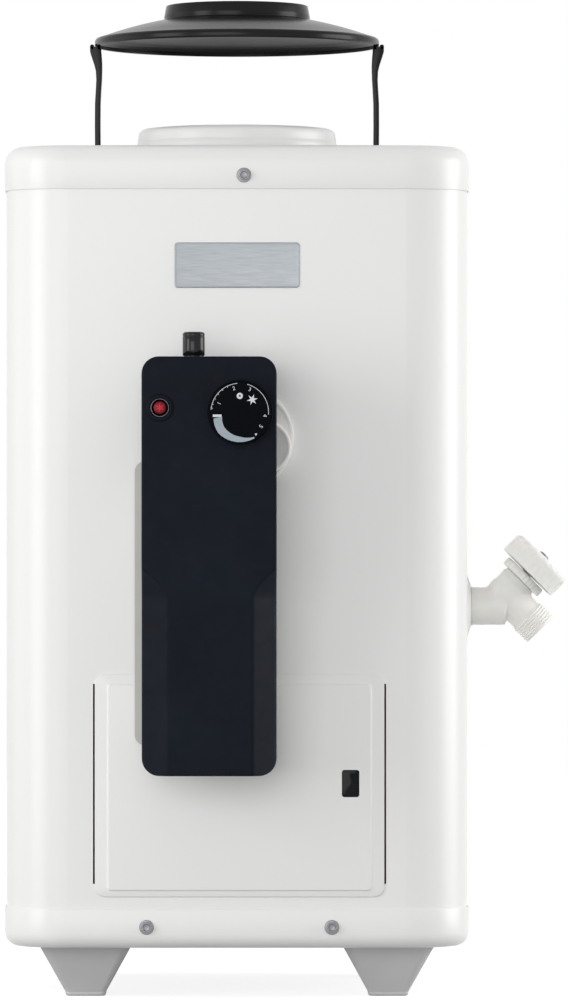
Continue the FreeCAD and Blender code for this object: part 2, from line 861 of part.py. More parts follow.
def sheet_screws(name, places):
    """One screw at each place on the front and on the rear."""
    screws = []
    for end, way in SIDES:
        facing = FORWARD if way < 0 else BACKWARD
        for i, (x, z) in enumerate(places):
            screws.append(sheet_screw("%s_%s%d" % (name, end, i), x, way * casing_half, z, facing))
    grouped(name, screws)


def foot_bolts():
    """A hex bolt through the tray's floor into each foot's boss."""
    bolts = []
    for name, x, y in foot_places():
        low = tray_floor - s.foot_bolt_length
        parts = [hexagon(name + "_head", s.foot_bolt_head_radius, s.foot_bolt_head_height,
                         x, y, tray_floor),
                 cylinder(name + "_shank", s.foot_bolt_radius, s.foot_bolt_length, x, y, low)]
        bolts.append(fused(name + "_bolt", parts))
    grouped("foot_bolts", bolts)


# Flue and draft hood

def flue_collar():
    """The pressed white ring round the flue, seated on the cover."""
    body = new_body("flue_collar")
    inner = s.flue_radius + s.sheet_gap
    wall = s.sheet_wall
    shoulder = s.collar_shoulder
    turned(body, "Z",
           (s.collar_base_radius, cover_top),
           (s.collar_shoulder_radius, collar_top - shoulder),
           (s.collar_shoulder_radius - shoulder, collar_top, shoulder, 1),
           (inner + wall * 2, collar_top),
           (inner, collar_top - wall * 2, wall * 2, 1),
           (inner, collar_top - s.collar_lip),
           (inner + wall, collar_top - s.collar_lip),
           (inner + wall, collar_top - wall * 2),
           (inner + wall * 2, collar_top - wall, wall, -1),
           (s.collar_shoulder_radius - shoulder, collar_top - wall),
           (s.collar_shoulder_radius - wall, collar_top - shoulder, shoulder - wall, -1),
           (s.collar_base_radius - wall, cover_top))


def flue_tube():
    """The welded flue through the tank's middle, guided by the collar's lip."""
    body = new_body("flue_tube")
    pad(body, "XY", flue_low, flue_top - flue_low,
        circle(0, 0, s.flue_radius), circle(0, 0, s.flue_radius - s.flue_wall))


def flue_baffle():
    """A zigzag strip that slows the flue gas, hung from a bar on the flue's rim."""
    body = new_body("flue_baffle")
    steps = int((number(flue_top) - number(tank_low)) / number(s.baffle_step)) - 1
    wall = s.baffle_wall
    left, right = [], []
    for i in range(steps + 1):
        side = 0 if i in (0, steps) else (1 if i % 2 else -1)
        level = flue_top - s.baffle_step * i
        left.append((side * s.baffle_swing - wall, level))
        right.append((side * s.baffle_swing + wall, level))
    pad(body, "XZ", -(s.baffle_width / 2), s.baffle_width, outline(*(left + right[::-1])))
    reach = s.flue_radius - s.flue_wall / 2
    pad(body, "XZ", -(wall * 4), wall * 8, box(-reach, flue_top, reach, flue_top + wall))


def draft_hood():
    """The spun black hood: a pipe collar, a shallow cone and a rolled rim."""
    body = new_body("draft_hood")
    wall = s.hood_wall
    root_radius = s.hood_collar_root
    rim, collar = s.hood_rim_radius, s.hood_collar_radius
    turned(body, "Z",
           (collar, hood_top_z),
           (collar - wall, hood_top_z),
           (collar - wall, hood_root_z + root_radius - wall),
           (collar + root_radius, hood_root_z - wall, root_radius + wall, 1),
           (rim - s.hood_bead, hood_lip_z - wall),
           (rim - wall, hood_lip_z - s.hood_bead, s.hood_bead - wall, -1),
           (rim - wall, hood_rim_z),
           (rim, hood_rim_z),
           (rim, hood_lip_z - s.hood_bead),
           (rim - s.hood_bead, hood_lip_z, s.hood_bead, 1),
           (collar + root_radius, hood_root_z),
           (collar, hood_root_z + root_radius, root_radius, -1))


def hood_legs():
    """Two straps: an ear whose notch holds the rim, a flare, a lean, a straight run and a tab for
    the cover's slot."""
    ear_high = hood_rim_z + s.leg_prong
    ear_low = ear_high - s.leg_ear_height
    flare_low = ear_low - s.leg_flare
    lean_low = flare_low - s.leg_lean_height
    half = s.leg_thick / 2
    tab_half = s.leg_tab_width / 2
    for hand, side in HANDS:
        body = new_body("hood_leg_" + hand, side * leg_spread, 0)
        lean = -side * s.leg_lean
        ear = side * (s.hood_rim_radius - s.hood_wall / 2 - leg_spread)
        pad(body, "XZ", -(s.leg_width / 2), s.leg_width,
            outline((-half, cover_top), (half, cover_top), (half, lean_low), (half + lean, flare_low),
                    (ear + s.leg_ear / 2, ear_low), (ear + s.leg_ear / 2, ear_high),
                    (ear - s.leg_ear / 2, ear_high), (ear - s.leg_ear / 2, ear_low),
                    (-half + lean, flare_low), (-half, lean_low)))
        pad(body, "XZ", -tab_half, s.leg_tab_width,
            box(-half, cover_top - s.leg_tab_length, half, cover_top))
        outside = s.hood_rim_radius + s.leg_rim_gap
        inside = s.hood_rim_radius - s.hood_wall - s.leg_rim_gap
        before = body.Shape.Volume
        slot = body.newObject("PartDesign::Pocket", body.Name + "_slot")
        slot.Profile = sketch_on(body, "XY", hood_rim_z,
                                 [circle(-side * leg_spread, 0, outside),
                                  circle(-side * leg_spread, 0, inside)])
        bind(slot, "Length", s.leg_ear_height)
        slot.Reversed = True
        document.recompute()
        if not body.Shape.Volume < before:
            raise RuntimeError("the rim slot of %s removed nothing" % body.Label)


# Tank, combustion skirt and insulation

def tank_shell():
    """The rolled steel tank wall, with a spud hole for each connection."""
    body = new_body("tank_shell")
    pad(body, "XY", tank_low, tank_height,
        circle(0, 0, s.tank_radius), circle(0, 0, s.tank_radius - s.tank_wall))
    deep = s.tank_radius / 3
    cut(body, "XZ", s.tank_radius + s.sheet_wall, deep,
        circle(shank_x, shank_z, s.valve_shank_radius + s.shank_gap))
    cut(body, "XZ", -(s.tank_radius + s.sheet_wall), deep, *water_holes(s.shank_gap), along=True)
    cut(body, "YZ", s.tank_radius + s.sheet_wall, deep,
        circle(0, drain_barrel_z, s.drain_thread_radius + s.shank_gap))


def tank_heads():
    """Dished ends pressed over the flue: the top one carries the anode, both crown upwards."""
    wall = s.tank_wall
    crown = head_crown
    hole = s.flue_radius + s.shank_gap
    drop = crown - root(crown * crown - hole * hole)
    under = crown - wall
    inner_edge = root(under * under - (crown - s.head_rise) * (crown - s.head_rise))
    under_drop = crown - root(under * under - hole * hole)
    for name, level in (("tank_top_head", tank_high), ("tank_bottom_head", tank_low)):
        body = new_body(name)
        peak = level + s.head_rise
        turned(body, "Z", (hole, peak - under_drop), (inner_edge, level, under, -1),
               (head_edge, level), (hole, peak - drop, crown, 1))
    top = nodes[-2]
    cut(top, "XY", tank_high + s.head_rise + wall, s.head_rise + wall * 2,
        circle(anode_x, 0, s.anode_radius + s.shank_gap))


def anode_rod():
    """The magnesium rod that hangs in the water from its plug in the top head."""
    nearest = anode_x - s.anode_head_radius
    plug_z = tank_high + s.head_rise - head_crown + root(head_crown * head_crown - nearest * nearest)
    parts = [cylinder("anode_rod_bar", s.anode_radius, s.anode_length, anode_x, 0,
                      plug_z - s.anode_length),
             hexagon("anode_rod_plug", s.anode_head_radius, s.anode_head_height, anode_x, 0, plug_z)]
    node(fused("anode_rod", parts), "anode_rod")


def insulation():
    """Foam that fills the space between tank and jacket above the burner door."""
    body = new_body("insulation")
    low = pipe_entry_z + s.pipe_bend
    outside = jacket_inside - s.insulation_gap
    corner = jacket_corner - s.sheet_wall - s.insulation_gap
    pad(body, "XY", low, tank_high - low,
        rounded(as_size(0), as_size(0), outside * 2, outside * 2, corner),
        circle(0, 0, s.tank_radius + s.insulation_gap))
    deep = jacket_half / 2
    cut(body, "XZ", jacket_half, deep,
        circle(shank_x, shank_z, s.valve_shank_radius + s.hole_gap))
    cut(body, "XZ", -jacket_half, deep, *water_holes(s.hole_gap), along=True)
    cut(body, "YZ", jacket_half, deep,
        circle(0, drain_barrel_z, s.drain_thread_radius + s.hole_gap))


def tank_skirt():
    """The skirt that stands on the tray, carries the tank and walls the burner's chamber."""
    body = new_body("tank_skirt")
    pad(body, "XY", tray_floor, tank_low - tray_floor,
        circle(0, 0, s.tank_radius), circle(0, 0, s.tank_radius - s.skirt_wall))
    low = tray_z + s.skirt_opening_low
    half = s.skirt_opening_width / 2
    cut(body, "XZ", s.tank_radius + s.sheet_wall, s.tank_radius / 2,
        box(-half, low, half, low + s.skirt_opening_height))


# Burner and its supply

def floor_shield():
    """An upturned pan that keeps the burner's heat off the tray."""
    body = new_body("floor_shield")
    top = tray_floor + s.shield_rise
    wall = s.sheet_wall
    turned(body, "Z", (s.shield_hole, top - wall), (shield_radius - wall, top - wall),
           (shield_radius - wall, tray_floor), (shield_radius, tray_floor),
           (shield_radius, top), (s.shield_hole, top))


def burner_bracket():
    """A bent strap that stands on the shield and carries the burner's neck."""
    body = new_body("burner_bracket")
    wall = s.bracket_wall
    low = tray_floor + s.shield_rise
    top = burner_low
    pad(body, "XZ", -(s.bracket_width / 2), s.bracket_width,
        outline((-s.bracket_span, low), (-s.bracket_span + wall, low), (-s.bracket_span + wall, top - wall),
                (s.bracket_span - wall, top - wall), (s.bracket_span - wall, low),
                (s.bracket_span, low), (s.bracket_span, top), (-s.bracket_span, top)))
    cut(body, "XY", top + wall, wall * 3, circle(0, 0, s.burner_neck_radius + s.shank_gap))


def burner():
    """The cast round burner with a ring of ports and its mixing neck."""
    body = new_body("burner")
    high = burner_low + s.burner_height
    radius, neck = s.burner_radius, s.burner_neck_radius
    bevel = s.burner_height / 4
    turned(body, "Z", (s.burner_mouth_radius, burner_low - s.burner_neck_length),
           (neck, burner_low - s.burner_neck_length), (neck, burner_low),
           (radius - bevel * 2, burner_low), (radius, burner_low + bevel * 2),
           (radius, high - bevel), (radius - bevel * 2, high), (0, high + bevel),
           (0, high), (radius - bevel * 3, high - bevel), (radius - bevel, high - bevel * 2),
           (radius - bevel * 3, burner_low + bevel), (s.burner_mouth_radius, burner_low + bevel))
    port_z = high - bevel * 3 / 2
    port = cut(body, "XZ", radius + bevel, bevel * 4, circle(0, port_z, s.port_radius))
    ring = body.newObject("PartDesign::PolarPattern", "burner_ports")
    ring.Originals = [port]
    ring.Axis = ([item for item in body.Origin.OriginFeatures if item.Role == "Z_Axis"][0], [""])
    ring.Angle = 360
    ring.Occurrences = BURNER_PORTS
    body.Tip = ring
    document.recompute()


def pipe_radii():
    return [s.gas_pipe_radius, s.pilot_pipe_radius, s.lead_radius]


def pipe_holes():
    """The holes that the supply pipes pass at their level run into the casing."""
    return [circle(pipe_x(place_number), pipe_entry_z, radius + s.hole_gap)
            for place_number, radius in enumerate(pipe_radii())]


def pipe_x(place_number):
    """The three supply pipes run side by side, the burner's own in the middle of the casing."""
    return as_size(0) - s.pipe_spacing * place_number


def bent_pipe(name, x, radius, points, bend, bore=None):
    """A pipe in a plane of one X through (y, z) points, with one radius at every bend.
    It starts downwards from its first point."""
    body = new_body(name, x)
    corners = [points[0]]
    for before, here, after in zip(points, points[1:], points[2:]):
        ways = []
        for other in (before, after):
            across, up = number(other[0]) - number(here[0]), number(other[1]) - number(here[1])
            length = math.hypot(across, up)
            ways.append((round(across / length), round(up / length)))
        first, last = ways
        turn = 1 if first[0] * last[1] - first[1] * last[0] < 0 else -1
        corners.append((here[0] + bend * first[0], here[1] + bend * first[1]))
        corners.append((here[0] + bend * last[0], here[1] + bend * last[1], bend, turn))
    corners.append(points[-1])
    path = sketch_on(body, "YZ", 0, [outline(*corners, closed=False)])
    section = body.newObject("Sketcher::SketchObject", name + "_section")
    floor = [item for item in body.Origin.OriginFeatures if item.Role == "XY_Plane"][0]
    section.AttachmentSupport = (floor, [""])
    section.MapMode = "FlatFace"
    section.AttachmentOffset = Placement(Vector(0, 0, number(points[0][1])), Rotation())
    bind(section, "AttachmentOffset.Base.z", points[0][1])
    circle(0, points[0][0], radius)(section)
    if bore:
        circle(0, points[0][0], bore)(section)
    pipe = body.newObject("PartDesign::AdditivePipe", name + "_sweep")
    pipe.Profile = section
    pipe.Spine = (path, ["Edge%d" % i for i in range(1, len(corners))])
    document.recompute()
    return body


def supply_pipes():
    """The burner's gas pipe, the pilot's pipe and the thermocouple's lead, down behind the door."""
    drop_y = -((jacket_inside + s.tank_radius) / 2)
    start_y = -(box_back + s.inlet_depth)
    for i, (name, radius, level, end_y) in enumerate((
            ("gas_feed_pipe", s.gas_pipe_radius, orifice_z + s.orifice_height / 2, -s.orifice_radius),
            ("pilot_pipe", s.pilot_pipe_radius, orifice_z + s.pilot_rise,
             -(s.pilot_stand + s.pilot_stem_radius)),
            ("thermocouple_lead", s.lead_radius, orifice_z + s.pilot_rise,
             -(s.pilot_stand + s.probe_radius)))):
        bent_pipe(name, pipe_x(i), radius,
                  [(start_y, valve_low), (start_y, pipe_entry_z), (drop_y, pipe_entry_z),
                   (drop_y, level), (end_y, level)], s.pipe_bend)


def orifice_fitting():
    """The brass elbow under the burner's neck that holds the gas jet."""
    parts = [hexagon("orifice_hex", s.orifice_radius, s.orifice_height, 0, 0, orifice_z),
             cylinder("orifice_jet", s.orifice_radius / 2, s.orifice_radius, 0, 0,
                      orifice_z + s.orifice_height)]
    node(fused("orifice_fitting", parts), "orifice_fitting")


def pilot_parts():
    """The pilot burner, the thermocouple's tip and the spark electrode on one small bracket."""
    y = -s.pilot_stand
    low = orifice_z + s.gas_pipe_radius * 2
    tall = burner_low + s.burner_height - low
    pilot = [cylinder("pilot_stem", s.pilot_stem_radius, tall, pipe_x(1), y, low),
             cylinder("pilot_hood", s.pilot_hood_radius, s.pilot_hood_height,
                      pipe_x(1), y, low + tall)]
    node(fused("pilot_burner", pilot), "pilot_burner")
    probe = [cylinder("thermocouple_stem", s.probe_radius, tall, pipe_x(2), y, low),
             cylinder("thermocouple_tip", s.probe_tip_radius, s.probe_tip_height,
                      pipe_x(2), y, low + tall)]
    node(fused("thermocouple", probe), "thermocouple")
    spark = [cylinder("electrode_insulator", s.probe_radius, tall, pipe_x(3), y, low),
             cylinder("electrode_pin", s.electrode_pin_radius, s.electrode_pin_height,
                      pipe_x(3), y, low + tall)]
    node(fused("spark_electrode", spark), "spark_electrode")
    body = new_body("pilot_bracket")
    wide = s.pilot_bracket_margin
    pad(body, "XY", low - s.bracket_wall, s.bracket_wall,
        box(pipe_x(3) - wide, y - wide, pipe_x(1) + wide, y + wide))
    shield_top = tray_floor + s.shield_rise
    pad(body, "XY", shield_top, low - s.bracket_wall - shield_top,
        box(pipe_x(2) - s.bracket_wall * 3, y + wide - s.bracket_wall,
            pipe_x(2) + s.bracket_wall * 3, y + wide))


# Water connections

def water_places():
    return (("cold_inlet_nipple", -s.nipple_spread, cold_rise),
            ("hot_outlet_nipple", s.nipple_spread, hot_rise))


def water_holes(gap):
    return [circle(x, z, s.nipple_inner_radius + gap) for name, x, z in water_places()]


def water_nipples():
    """Two pipe nipples from the tank's wall out through the rear."""
    outer_x = s.nipple_spread + s.nipple_inner_radius
    start = root(s.tank_radius * s.tank_radius - outer_x * outer_x) - s.tank_wall * 2
    for name, x, z in water_places():
        body = new_body(name, x, 0, z)
        shoulder = casing_half + s.sheet_wall
        pad(body, "XZ", -shoulder, shoulder - start,
            circle(0, 0, s.nipple_inner_radius), circle(0, 0, s.nipple_bore))
        pad(body, "XZ", -rear_reach, rear_reach - shoulder,
            circle(0, 0, s.nipple_radius), circle(0, 0, s.nipple_bore))


# Front of the casing

def nameplate():
    """A bare brushed plate stuck to the jacket."""
    body = new_body("nameplate")
    pad(body, "XZ", jacket_half, s.nameplate_thick,
        rounded(as_size(0), s.nameplate_rise, s.nameplate_width, s.nameplate_height,
                s.nameplate_corner))


def access_door():
    """The pressed burner door: a raised panel, two side flanges in the slits and two hooks."""
    body = new_body("access_door")
    back = jacket_half + s.sheet_gap
    front = back + s.door_wall
    middle_z = (s.door_low + s.door_high) / 2
    emboss_z = (emboss_low + emboss_high) / 2
    emboss_tall = emboss_high - emboss_low
    pad(body, "XZ", back, s.door_wall,
        rounded(s.door_x, middle_z, s.door_width, s.door_high - s.door_low, s.door_corner))
    pad(body, "XZ", front, s.emboss_height,
        rounded(s.door_x, emboss_z, emboss_width, emboss_tall, s.emboss_corner))
    inner = s.door_wall * 2
    cut(body, "XZ", back, s.emboss_height,
        rounded(s.door_x, emboss_z, emboss_width - inner, emboss_tall - inner,
                s.emboss_corner - s.door_wall), along=True)
    cut(body, "XZ", front + s.emboss_height + s.sheet_wall, s.emboss_height * 4,
        rounded(window_x, window_z, s.window_width, s.window_height, s.window_corner))
    flange = s.door_width / 2
    span = s.door_flange_depth
    for hand, side in HANDS:
        edges = sorted([s.door_x + side * flange, s.door_x + side * (flange - s.door_wall)], key=number)
        pad(body, "XZ", back - span, span,
            box(edges[0], slit_low + span / 2, edges[1], slit_high - span / 2))
    hook = s.sheet_wall
    behind = jacket_inside - s.sheet_gap * 3
    for hand, side in HANDS:
        start = s.door_x + side * hook_spread - s.hook_width / 2
        pad(body, "YZ", start, s.hook_width,
            outline((-back, hook_low), (-behind + hook, hook_low), (-behind + hook, hook_low + span),
                    (-behind, hook_low + span), (-behind, hook_low + hook), (-back, hook_low + hook)))


def sight_glass():
    """The dark glass in the door, with a flange behind the panel."""
    body = new_body("sight_glass")
    inside_face = jacket_half + s.sheet_gap + s.emboss_height
    fit = s.window_fit * 2
    pad(body, "XZ", inside_face - s.sheet_wall, s.sheet_wall,
        rounded(window_x, window_z, s.window_width + fit * 8, s.window_height + fit * 8,
                s.window_corner))
    pad(body, "XZ", inside_face, s.door_wall,
        rounded(window_x, window_z, s.window_width - fit, s.window_height - fit,
                s.window_corner - s.window_fit))


# Gas control

def thermostat_escutcheon():
    """The white moulding that covers the hole round the valve's shank, with its side boss."""
    body = new_body("thermostat_escutcheon")
    thick = s.escutcheon_thick
    bore = circle(shank_x, shank_z, s.valve_shank_radius + s.shank_gap)
    pad(body, "XZ", jacket_half, thick, circle(shank_x, shank_z, s.escutcheon_radius))
    pad(body, "XZ", jacket_half + thick, s.boss_height, circle(boss_x, boss_z, s.boss_radius))
    round_edges(body, s.escutcheon_round, edge_at("Y", -(jacket_half + thick + s.boss_height)))
    cut(body, "XZ", jacket_half + thick + s.boss_height + s.sheet_wall,
        thick + s.boss_height + s.sheet_wall * 2, bore)


def gas_valve():
    """The cast gas control behind the cover, with its shank and bulb into the tank."""
    body = new_body("gas_valve")
    deep = valve_front - box_back
    left, right = -valve_left, -valve_left + valve_width
    pad(body, "XZ", box_back, deep, box(left, valve_low, right, valve_high))
    round_edges(body, s.box_wall, lambda edge: abs(edge.BoundBox.YLength - number(deep)) < 0.01)
    pad(body, "XZ", s.bulb_reach, box_back - s.bulb_reach, circle(shank_x, shank_z, s.bulb_radius))
    thread = s.tank_radius - s.tank_wall * 2
    pad(body, "XZ", thread, box_back - thread, circle(shank_x, shank_z, s.valve_shank_radius))
    well = s.igniter_length + s.box_wall
    cut(body, "XZ", valve_front + s.sheet_wall, well,
        circle(-igniter_x, igniter_z, s.bezel_neck + s.hole_gap * 2))
    cut(body, "XZ", valve_front, s.dial_travel + s.spindle_seat,
        circle(dial_x, dial_z, s.spindle_radius + s.spindle_fit))
    cut(body, "XY", valve_high + s.sheet_wall, s.inlet_radius * 2,
        circle(-inlet_x, -(box_back + s.inlet_depth), s.inlet_bore))


def rear_plate():
    """The off-white plate behind the control cover, fixed under the valve."""
    body = new_body("rear_plate")
    middle = -plate_left + plate_width / 2
    tall = plate_high - plate_low
    pad(body, "XZ", box_back - s.plate_thick, s.plate_thick,
        rounded(middle, plate_low + tall / 2, plate_width, tall, s.door_corner))
    cut(body, "XZ", box_back + s.sheet_wall, s.plate_thick * 2, *pipe_holes())


def control_cover():
    """The black moulded cover, open behind, with two bevels, a dial hole and an igniter hole."""
    body = new_body("control_cover")
    left, right = -s.box_left, -s.box_left + s.box_width
    middle = (left + right) / 2
    tall = s.box_high - s.box_low
    centre_z = s.box_low + tall / 2
    wall = s.box_wall
    pad(body, "XZ", box_back, s.box_depth, rounded(middle, centre_z, s.box_width, tall, s.box_corner))
    past = s.sheet_wall
    for edge_x, side, wide in ((left, -1, s.bevel_left), (right, 1, s.bevel_right)):
        full = [(edge_x - side * wide, -(box_front + past)), (edge_x + side * past, -(box_front + past)),
                (edge_x + side * past, -(box_front - s.bevel_depth))]
        slim = [(edge_x - side * wide * s.bevel_end_share, -(box_front + past)),
                (edge_x + side * past, -(box_front + past)),
                (edge_x + side * past, -(box_front - s.bevel_depth * s.bevel_end_share))]
        cut(body, "XY", bevel_high, bevel_high - s.box_low + past, outline(*full))
        before = body.Shape.Volume
        lower = sketch_on(body, "XY", bevel_high, [outline(*full)])
        upper = sketch_on(body, "XY", bevel_high + s.bevel_run, [outline(*slim)])
        taper = body.newObject("PartDesign::SubtractiveLoft", body.Name + "_bevel_end")
        taper.Profile = lower
        taper.Sections = [upper]
        taper.Ruled = True
        document.recompute()
        if not body.Shape.Volume < before:
            raise RuntimeError("the end of a bevel removed nothing")
    low_break = bevel_high + s.bevel_run + wall
    cut(body, "XZ", box_back, s.box_depth - wall,
        rounded(middle, (low_break + s.box_high - wall) / 2, s.box_width - wall * 2,
                s.box_high - wall - low_break, s.box_corner - wall), along=True)
    tall_low = low_break - (s.box_low + wall)
    cut(body, "XZ", box_back, s.box_depth - s.bevel_depth - wall * 2,
        rounded(middle, s.box_low + wall + tall_low / 2, s.box_width - wall * 2,
                tall_low + s.box_corner * 2, s.box_corner - wall), along=True)
    narrow_left, narrow_right = left + s.bevel_left + wall, right - s.bevel_right - wall
    cut(body, "XZ", box_back, s.box_depth - wall,
        box(narrow_left, s.box_low + s.box_corner, narrow_right, low_break + s.box_corner), along=True)
    cut(body, "XZ", box_front + past, wall * 2,
        circle(dial_x, dial_z, s.spindle_radius + s.hole_gap),
        circle(-igniter_x, igniter_z, s.bezel_neck + s.shank_gap))
    cut(body, "XY", s.box_high + past, wall * 2,
        circle(-inlet_x, -(box_back + s.inlet_depth), s.inlet_neck + s.inlet_gap))


def gas_inlet_nipple():
    """The flare nipple that stands out of the cover's top for the gas line."""
    body = new_body("gas_inlet_nipple", -inlet_x, -(box_back + s.inlet_depth))
    top = s.box_high + s.inlet_show
    radius = s.inlet_radius
    bevel = radius / 4
    shoulder = s.box_high + s.sheet_wall
    turned(body, "Z", (s.inlet_bore, valve_high), (s.inlet_neck, valve_high),
           (s.inlet_neck, shoulder), (radius, shoulder), (radius, top - bevel),
           (radius - bevel, top), (s.inlet_bore, top))


def dial_spindle():
    """The valve's spindle, with a flat that the knob's bore fits."""
    body = new_body("dial_spindle", dial_x, 0, dial_z)
    start = valve_front - s.dial_travel - s.spindle_seat + s.sheet_gap
    pad(body, "XZ", start, spindle_front - start, circle(0, 0, s.spindle_radius))
    cut(body, "XZ", spindle_front, s.spindle_length - s.sheet_wall,
        box(-s.spindle_radius, s.spindle_flat, s.spindle_radius, s.spindle_radius))


def dial_knob():
    """The dial: a round cap with a soft edge, a thin wall and a hub bored for the spindle."""
    body = new_body("dial_knob", dial_x, 0, dial_z)
    radius, edge = s.dial_radius, s.dial_edge
    back = box_front + s.dial_travel + s.dial_clear
    turned(body, "Y", (0, -dial_front), (radius - edge, -dial_front),
           (radius, -(dial_front - edge), edge, 1), (radius, -back), (0, -back))
    bore = s.spindle_radius + s.spindle_fit
    flat = s.spindle_flat + s.spindle_fit
    span = root(bore * bore - flat * flat)
    deep = spindle_front + s.dial_travel + s.sheet_gap - back
    cut(body, "XZ", back, deep, outline((-span, flat), (0, -bore, bore, 1), (span, flat, bore, 1)),
        along=True)


def igniter():
    """The igniter's bezel and piezo body on the cover, and the red button that slides in them."""
    x, z = -igniter_x, igniter_z
    bezel = new_body("igniter_bezel", x, 0, z)
    outer, inner, neck = s.bezel_radius, s.bezel_inner, s.bezel_neck
    bore = s.button_radius + s.button_gap
    front = box_front + s.bezel_height
    sunk = box_front - s.box_wall * 3
    turned(bezel, "Y", (inner, -front), (outer - s.bezel_height, -front), (outer, -box_front),
           (neck, -box_front), (neck, -sunk), (bore, -sunk), (bore, -(front - s.sheet_wall)))
    piezo = new_body("igniter_body", x, 0, z)
    deep = s.igniter_length - s.box_wall * 3
    pad(piezo, "XZ", sunk - deep, deep, circle(0, 0, neck))
    cut(piezo, "XZ", sunk, s.button_length, circle(0, 0, bore))
    button = new_body("igniter_button", x, 0, z)
    pad(button, "XZ", box_front + s.button_proud - s.button_length, s.button_length,
        circle(0, 0, s.button_radius))
    round_edges(button, s.button_gap * 3, edge_at("Y", -(box_front + s.button_proud)))


# Drain valve

def drain_flange():
    """The cone that covers the hole in the jacket."""
    body = new_body("drain_flange", 0, 0, drain_barrel_z)
    bore = s.barrel_radius + s.shank_gap
    start, end = jacket_half, jacket_half + s.drain_flange_height
    turned(body, "X", (s.drain_thread_radius + s.shank_gap, start), (s.drain_flange_radius, start),
           (s.drain_flange_radius, start + s.sheet_wall), (s.drain_flange_face, end), (bore, end),
           (bore, start + s.sheet_wall * 2), (s.drain_thread_radius + s.shank_gap, start + s.sheet_wall * 2))


def drain_places():
    """The point, axis and angle of a round piece along the bonnet, the outlet and the barrel."""
    up = ((0, 1, 0), 90 - s.drain_tilt)
    down = ((0, 1, 0), 90 + s.drain_tilt)
    along = ((0, 1, 0), as_size(90))
    return up, down, along


def drain_body():
    """The moulded valve: threaded shank, barrel, bonnet neck and hose outlet, bored through."""
    up, down, along = drain_places()
    here = (drain_x, 0, drain_z)
    start = s.tank_radius - s.tank_wall * 2
    shoulder = jacket_half + s.sheet_wall * 2
    run = drain_x - shoulder
    neck_end = s.outlet_length - s.outlet_thread_length
    solids = [
        cylinder("drain_shank", s.drain_thread_radius, shoulder - start, start, 0, drain_barrel_z, *along),
        cylinder("drain_barrel", s.barrel_radius, run, shoulder, 0, drain_barrel_z, *along),
        cylinder("drain_neck", s.bonnet_radius, s.bonnet_length, *here, *up),
        cylinder("drain_outlet", s.outlet_neck_radius, s.outlet_length, *here, *down),
    ]
    ball = document.addObject("Part::Sphere", "drain_corner")
    bind(ball, "Radius", s.barrel_radius + s.sheet_wall)
    place(ball, casing_x + drain_x, casing_y, drain_z)
    thread = cylinder("drain_outlet_thread", s.outlet_radius, s.outlet_thread_length,
                      drain_x + neck_end * cosine(s.drain_tilt), 0,
                      drain_z - neck_end * sine(s.drain_tilt), *down)
    inlet_end = drain_x - s.washer_disc_height * 3
    deep = s.seat_depth + s.washer_disc_height
    port_end = deep + s.seat_port_depth
    bore_start = s.outlet_length - s.outlet_bore_depth
    bores = [
        cylinder("drain_seat_bore", s.valve_cavity, s.bonnet_length + deep,
                 drain_x - deep * cosine(s.drain_tilt), 0, drain_z - deep * sine(s.drain_tilt), *up),
        cylinder("drain_seat_port", s.seat_port, s.seat_port_depth + s.sheet_wall,
                 drain_x - port_end * cosine(s.drain_tilt), 0,
                 drain_z - port_end * sine(s.drain_tilt), *up),
        cylinder("drain_outlet_passage", s.outlet_passage, s.outlet_length, *here, *down),
        cylinder("drain_outlet_bore", s.outlet_bore, s.outlet_bore_depth + s.sheet_wall,
                 drain_x + bore_start * cosine(s.drain_tilt), 0,
                 drain_z - bore_start * sine(s.drain_tilt), *down),
        cylinder("drain_inlet_bore", s.water_bore, inlet_end - start + s.sheet_wall,
                 start - s.sheet_wall, 0, drain_barrel_z, *along),
    ]
    whole = fused("drain_solid", solids + [ball, thread])
    node(less("drain_body", whole, fused("drain_bores", bores)), "drain_body")


def on_bonnet(distance):
    """The point on the bonnet's axis at a distance from the valve's corner."""
    return (drain_x + distance * cosine(s.drain_tilt), 0, drain_z + distance * sine(s.drain_tilt))


def tilted_body(name, distance):
    """A body whose own Z runs out along the bonnet's axis."""
    return new_body(name, *on_bonnet(distance), axis=(0, 1, 0), angle=90 - s.drain_tilt)


def drain_bonnet_nut():
    """The ribbed nut that closes the valve round its stem."""
    body = tilted_body("drain_bonnet_nut", s.bonnet_length)
    bore = s.stem_radius + s.stem_gap
    bevel = s.sheet_wall
    turned(body, "Z", (bore, 0), (s.nut_radius, 0), (s.nut_radius, s.nut_height - bevel),
           (s.nut_radius - bevel, s.nut_height), (bore, s.nut_height))


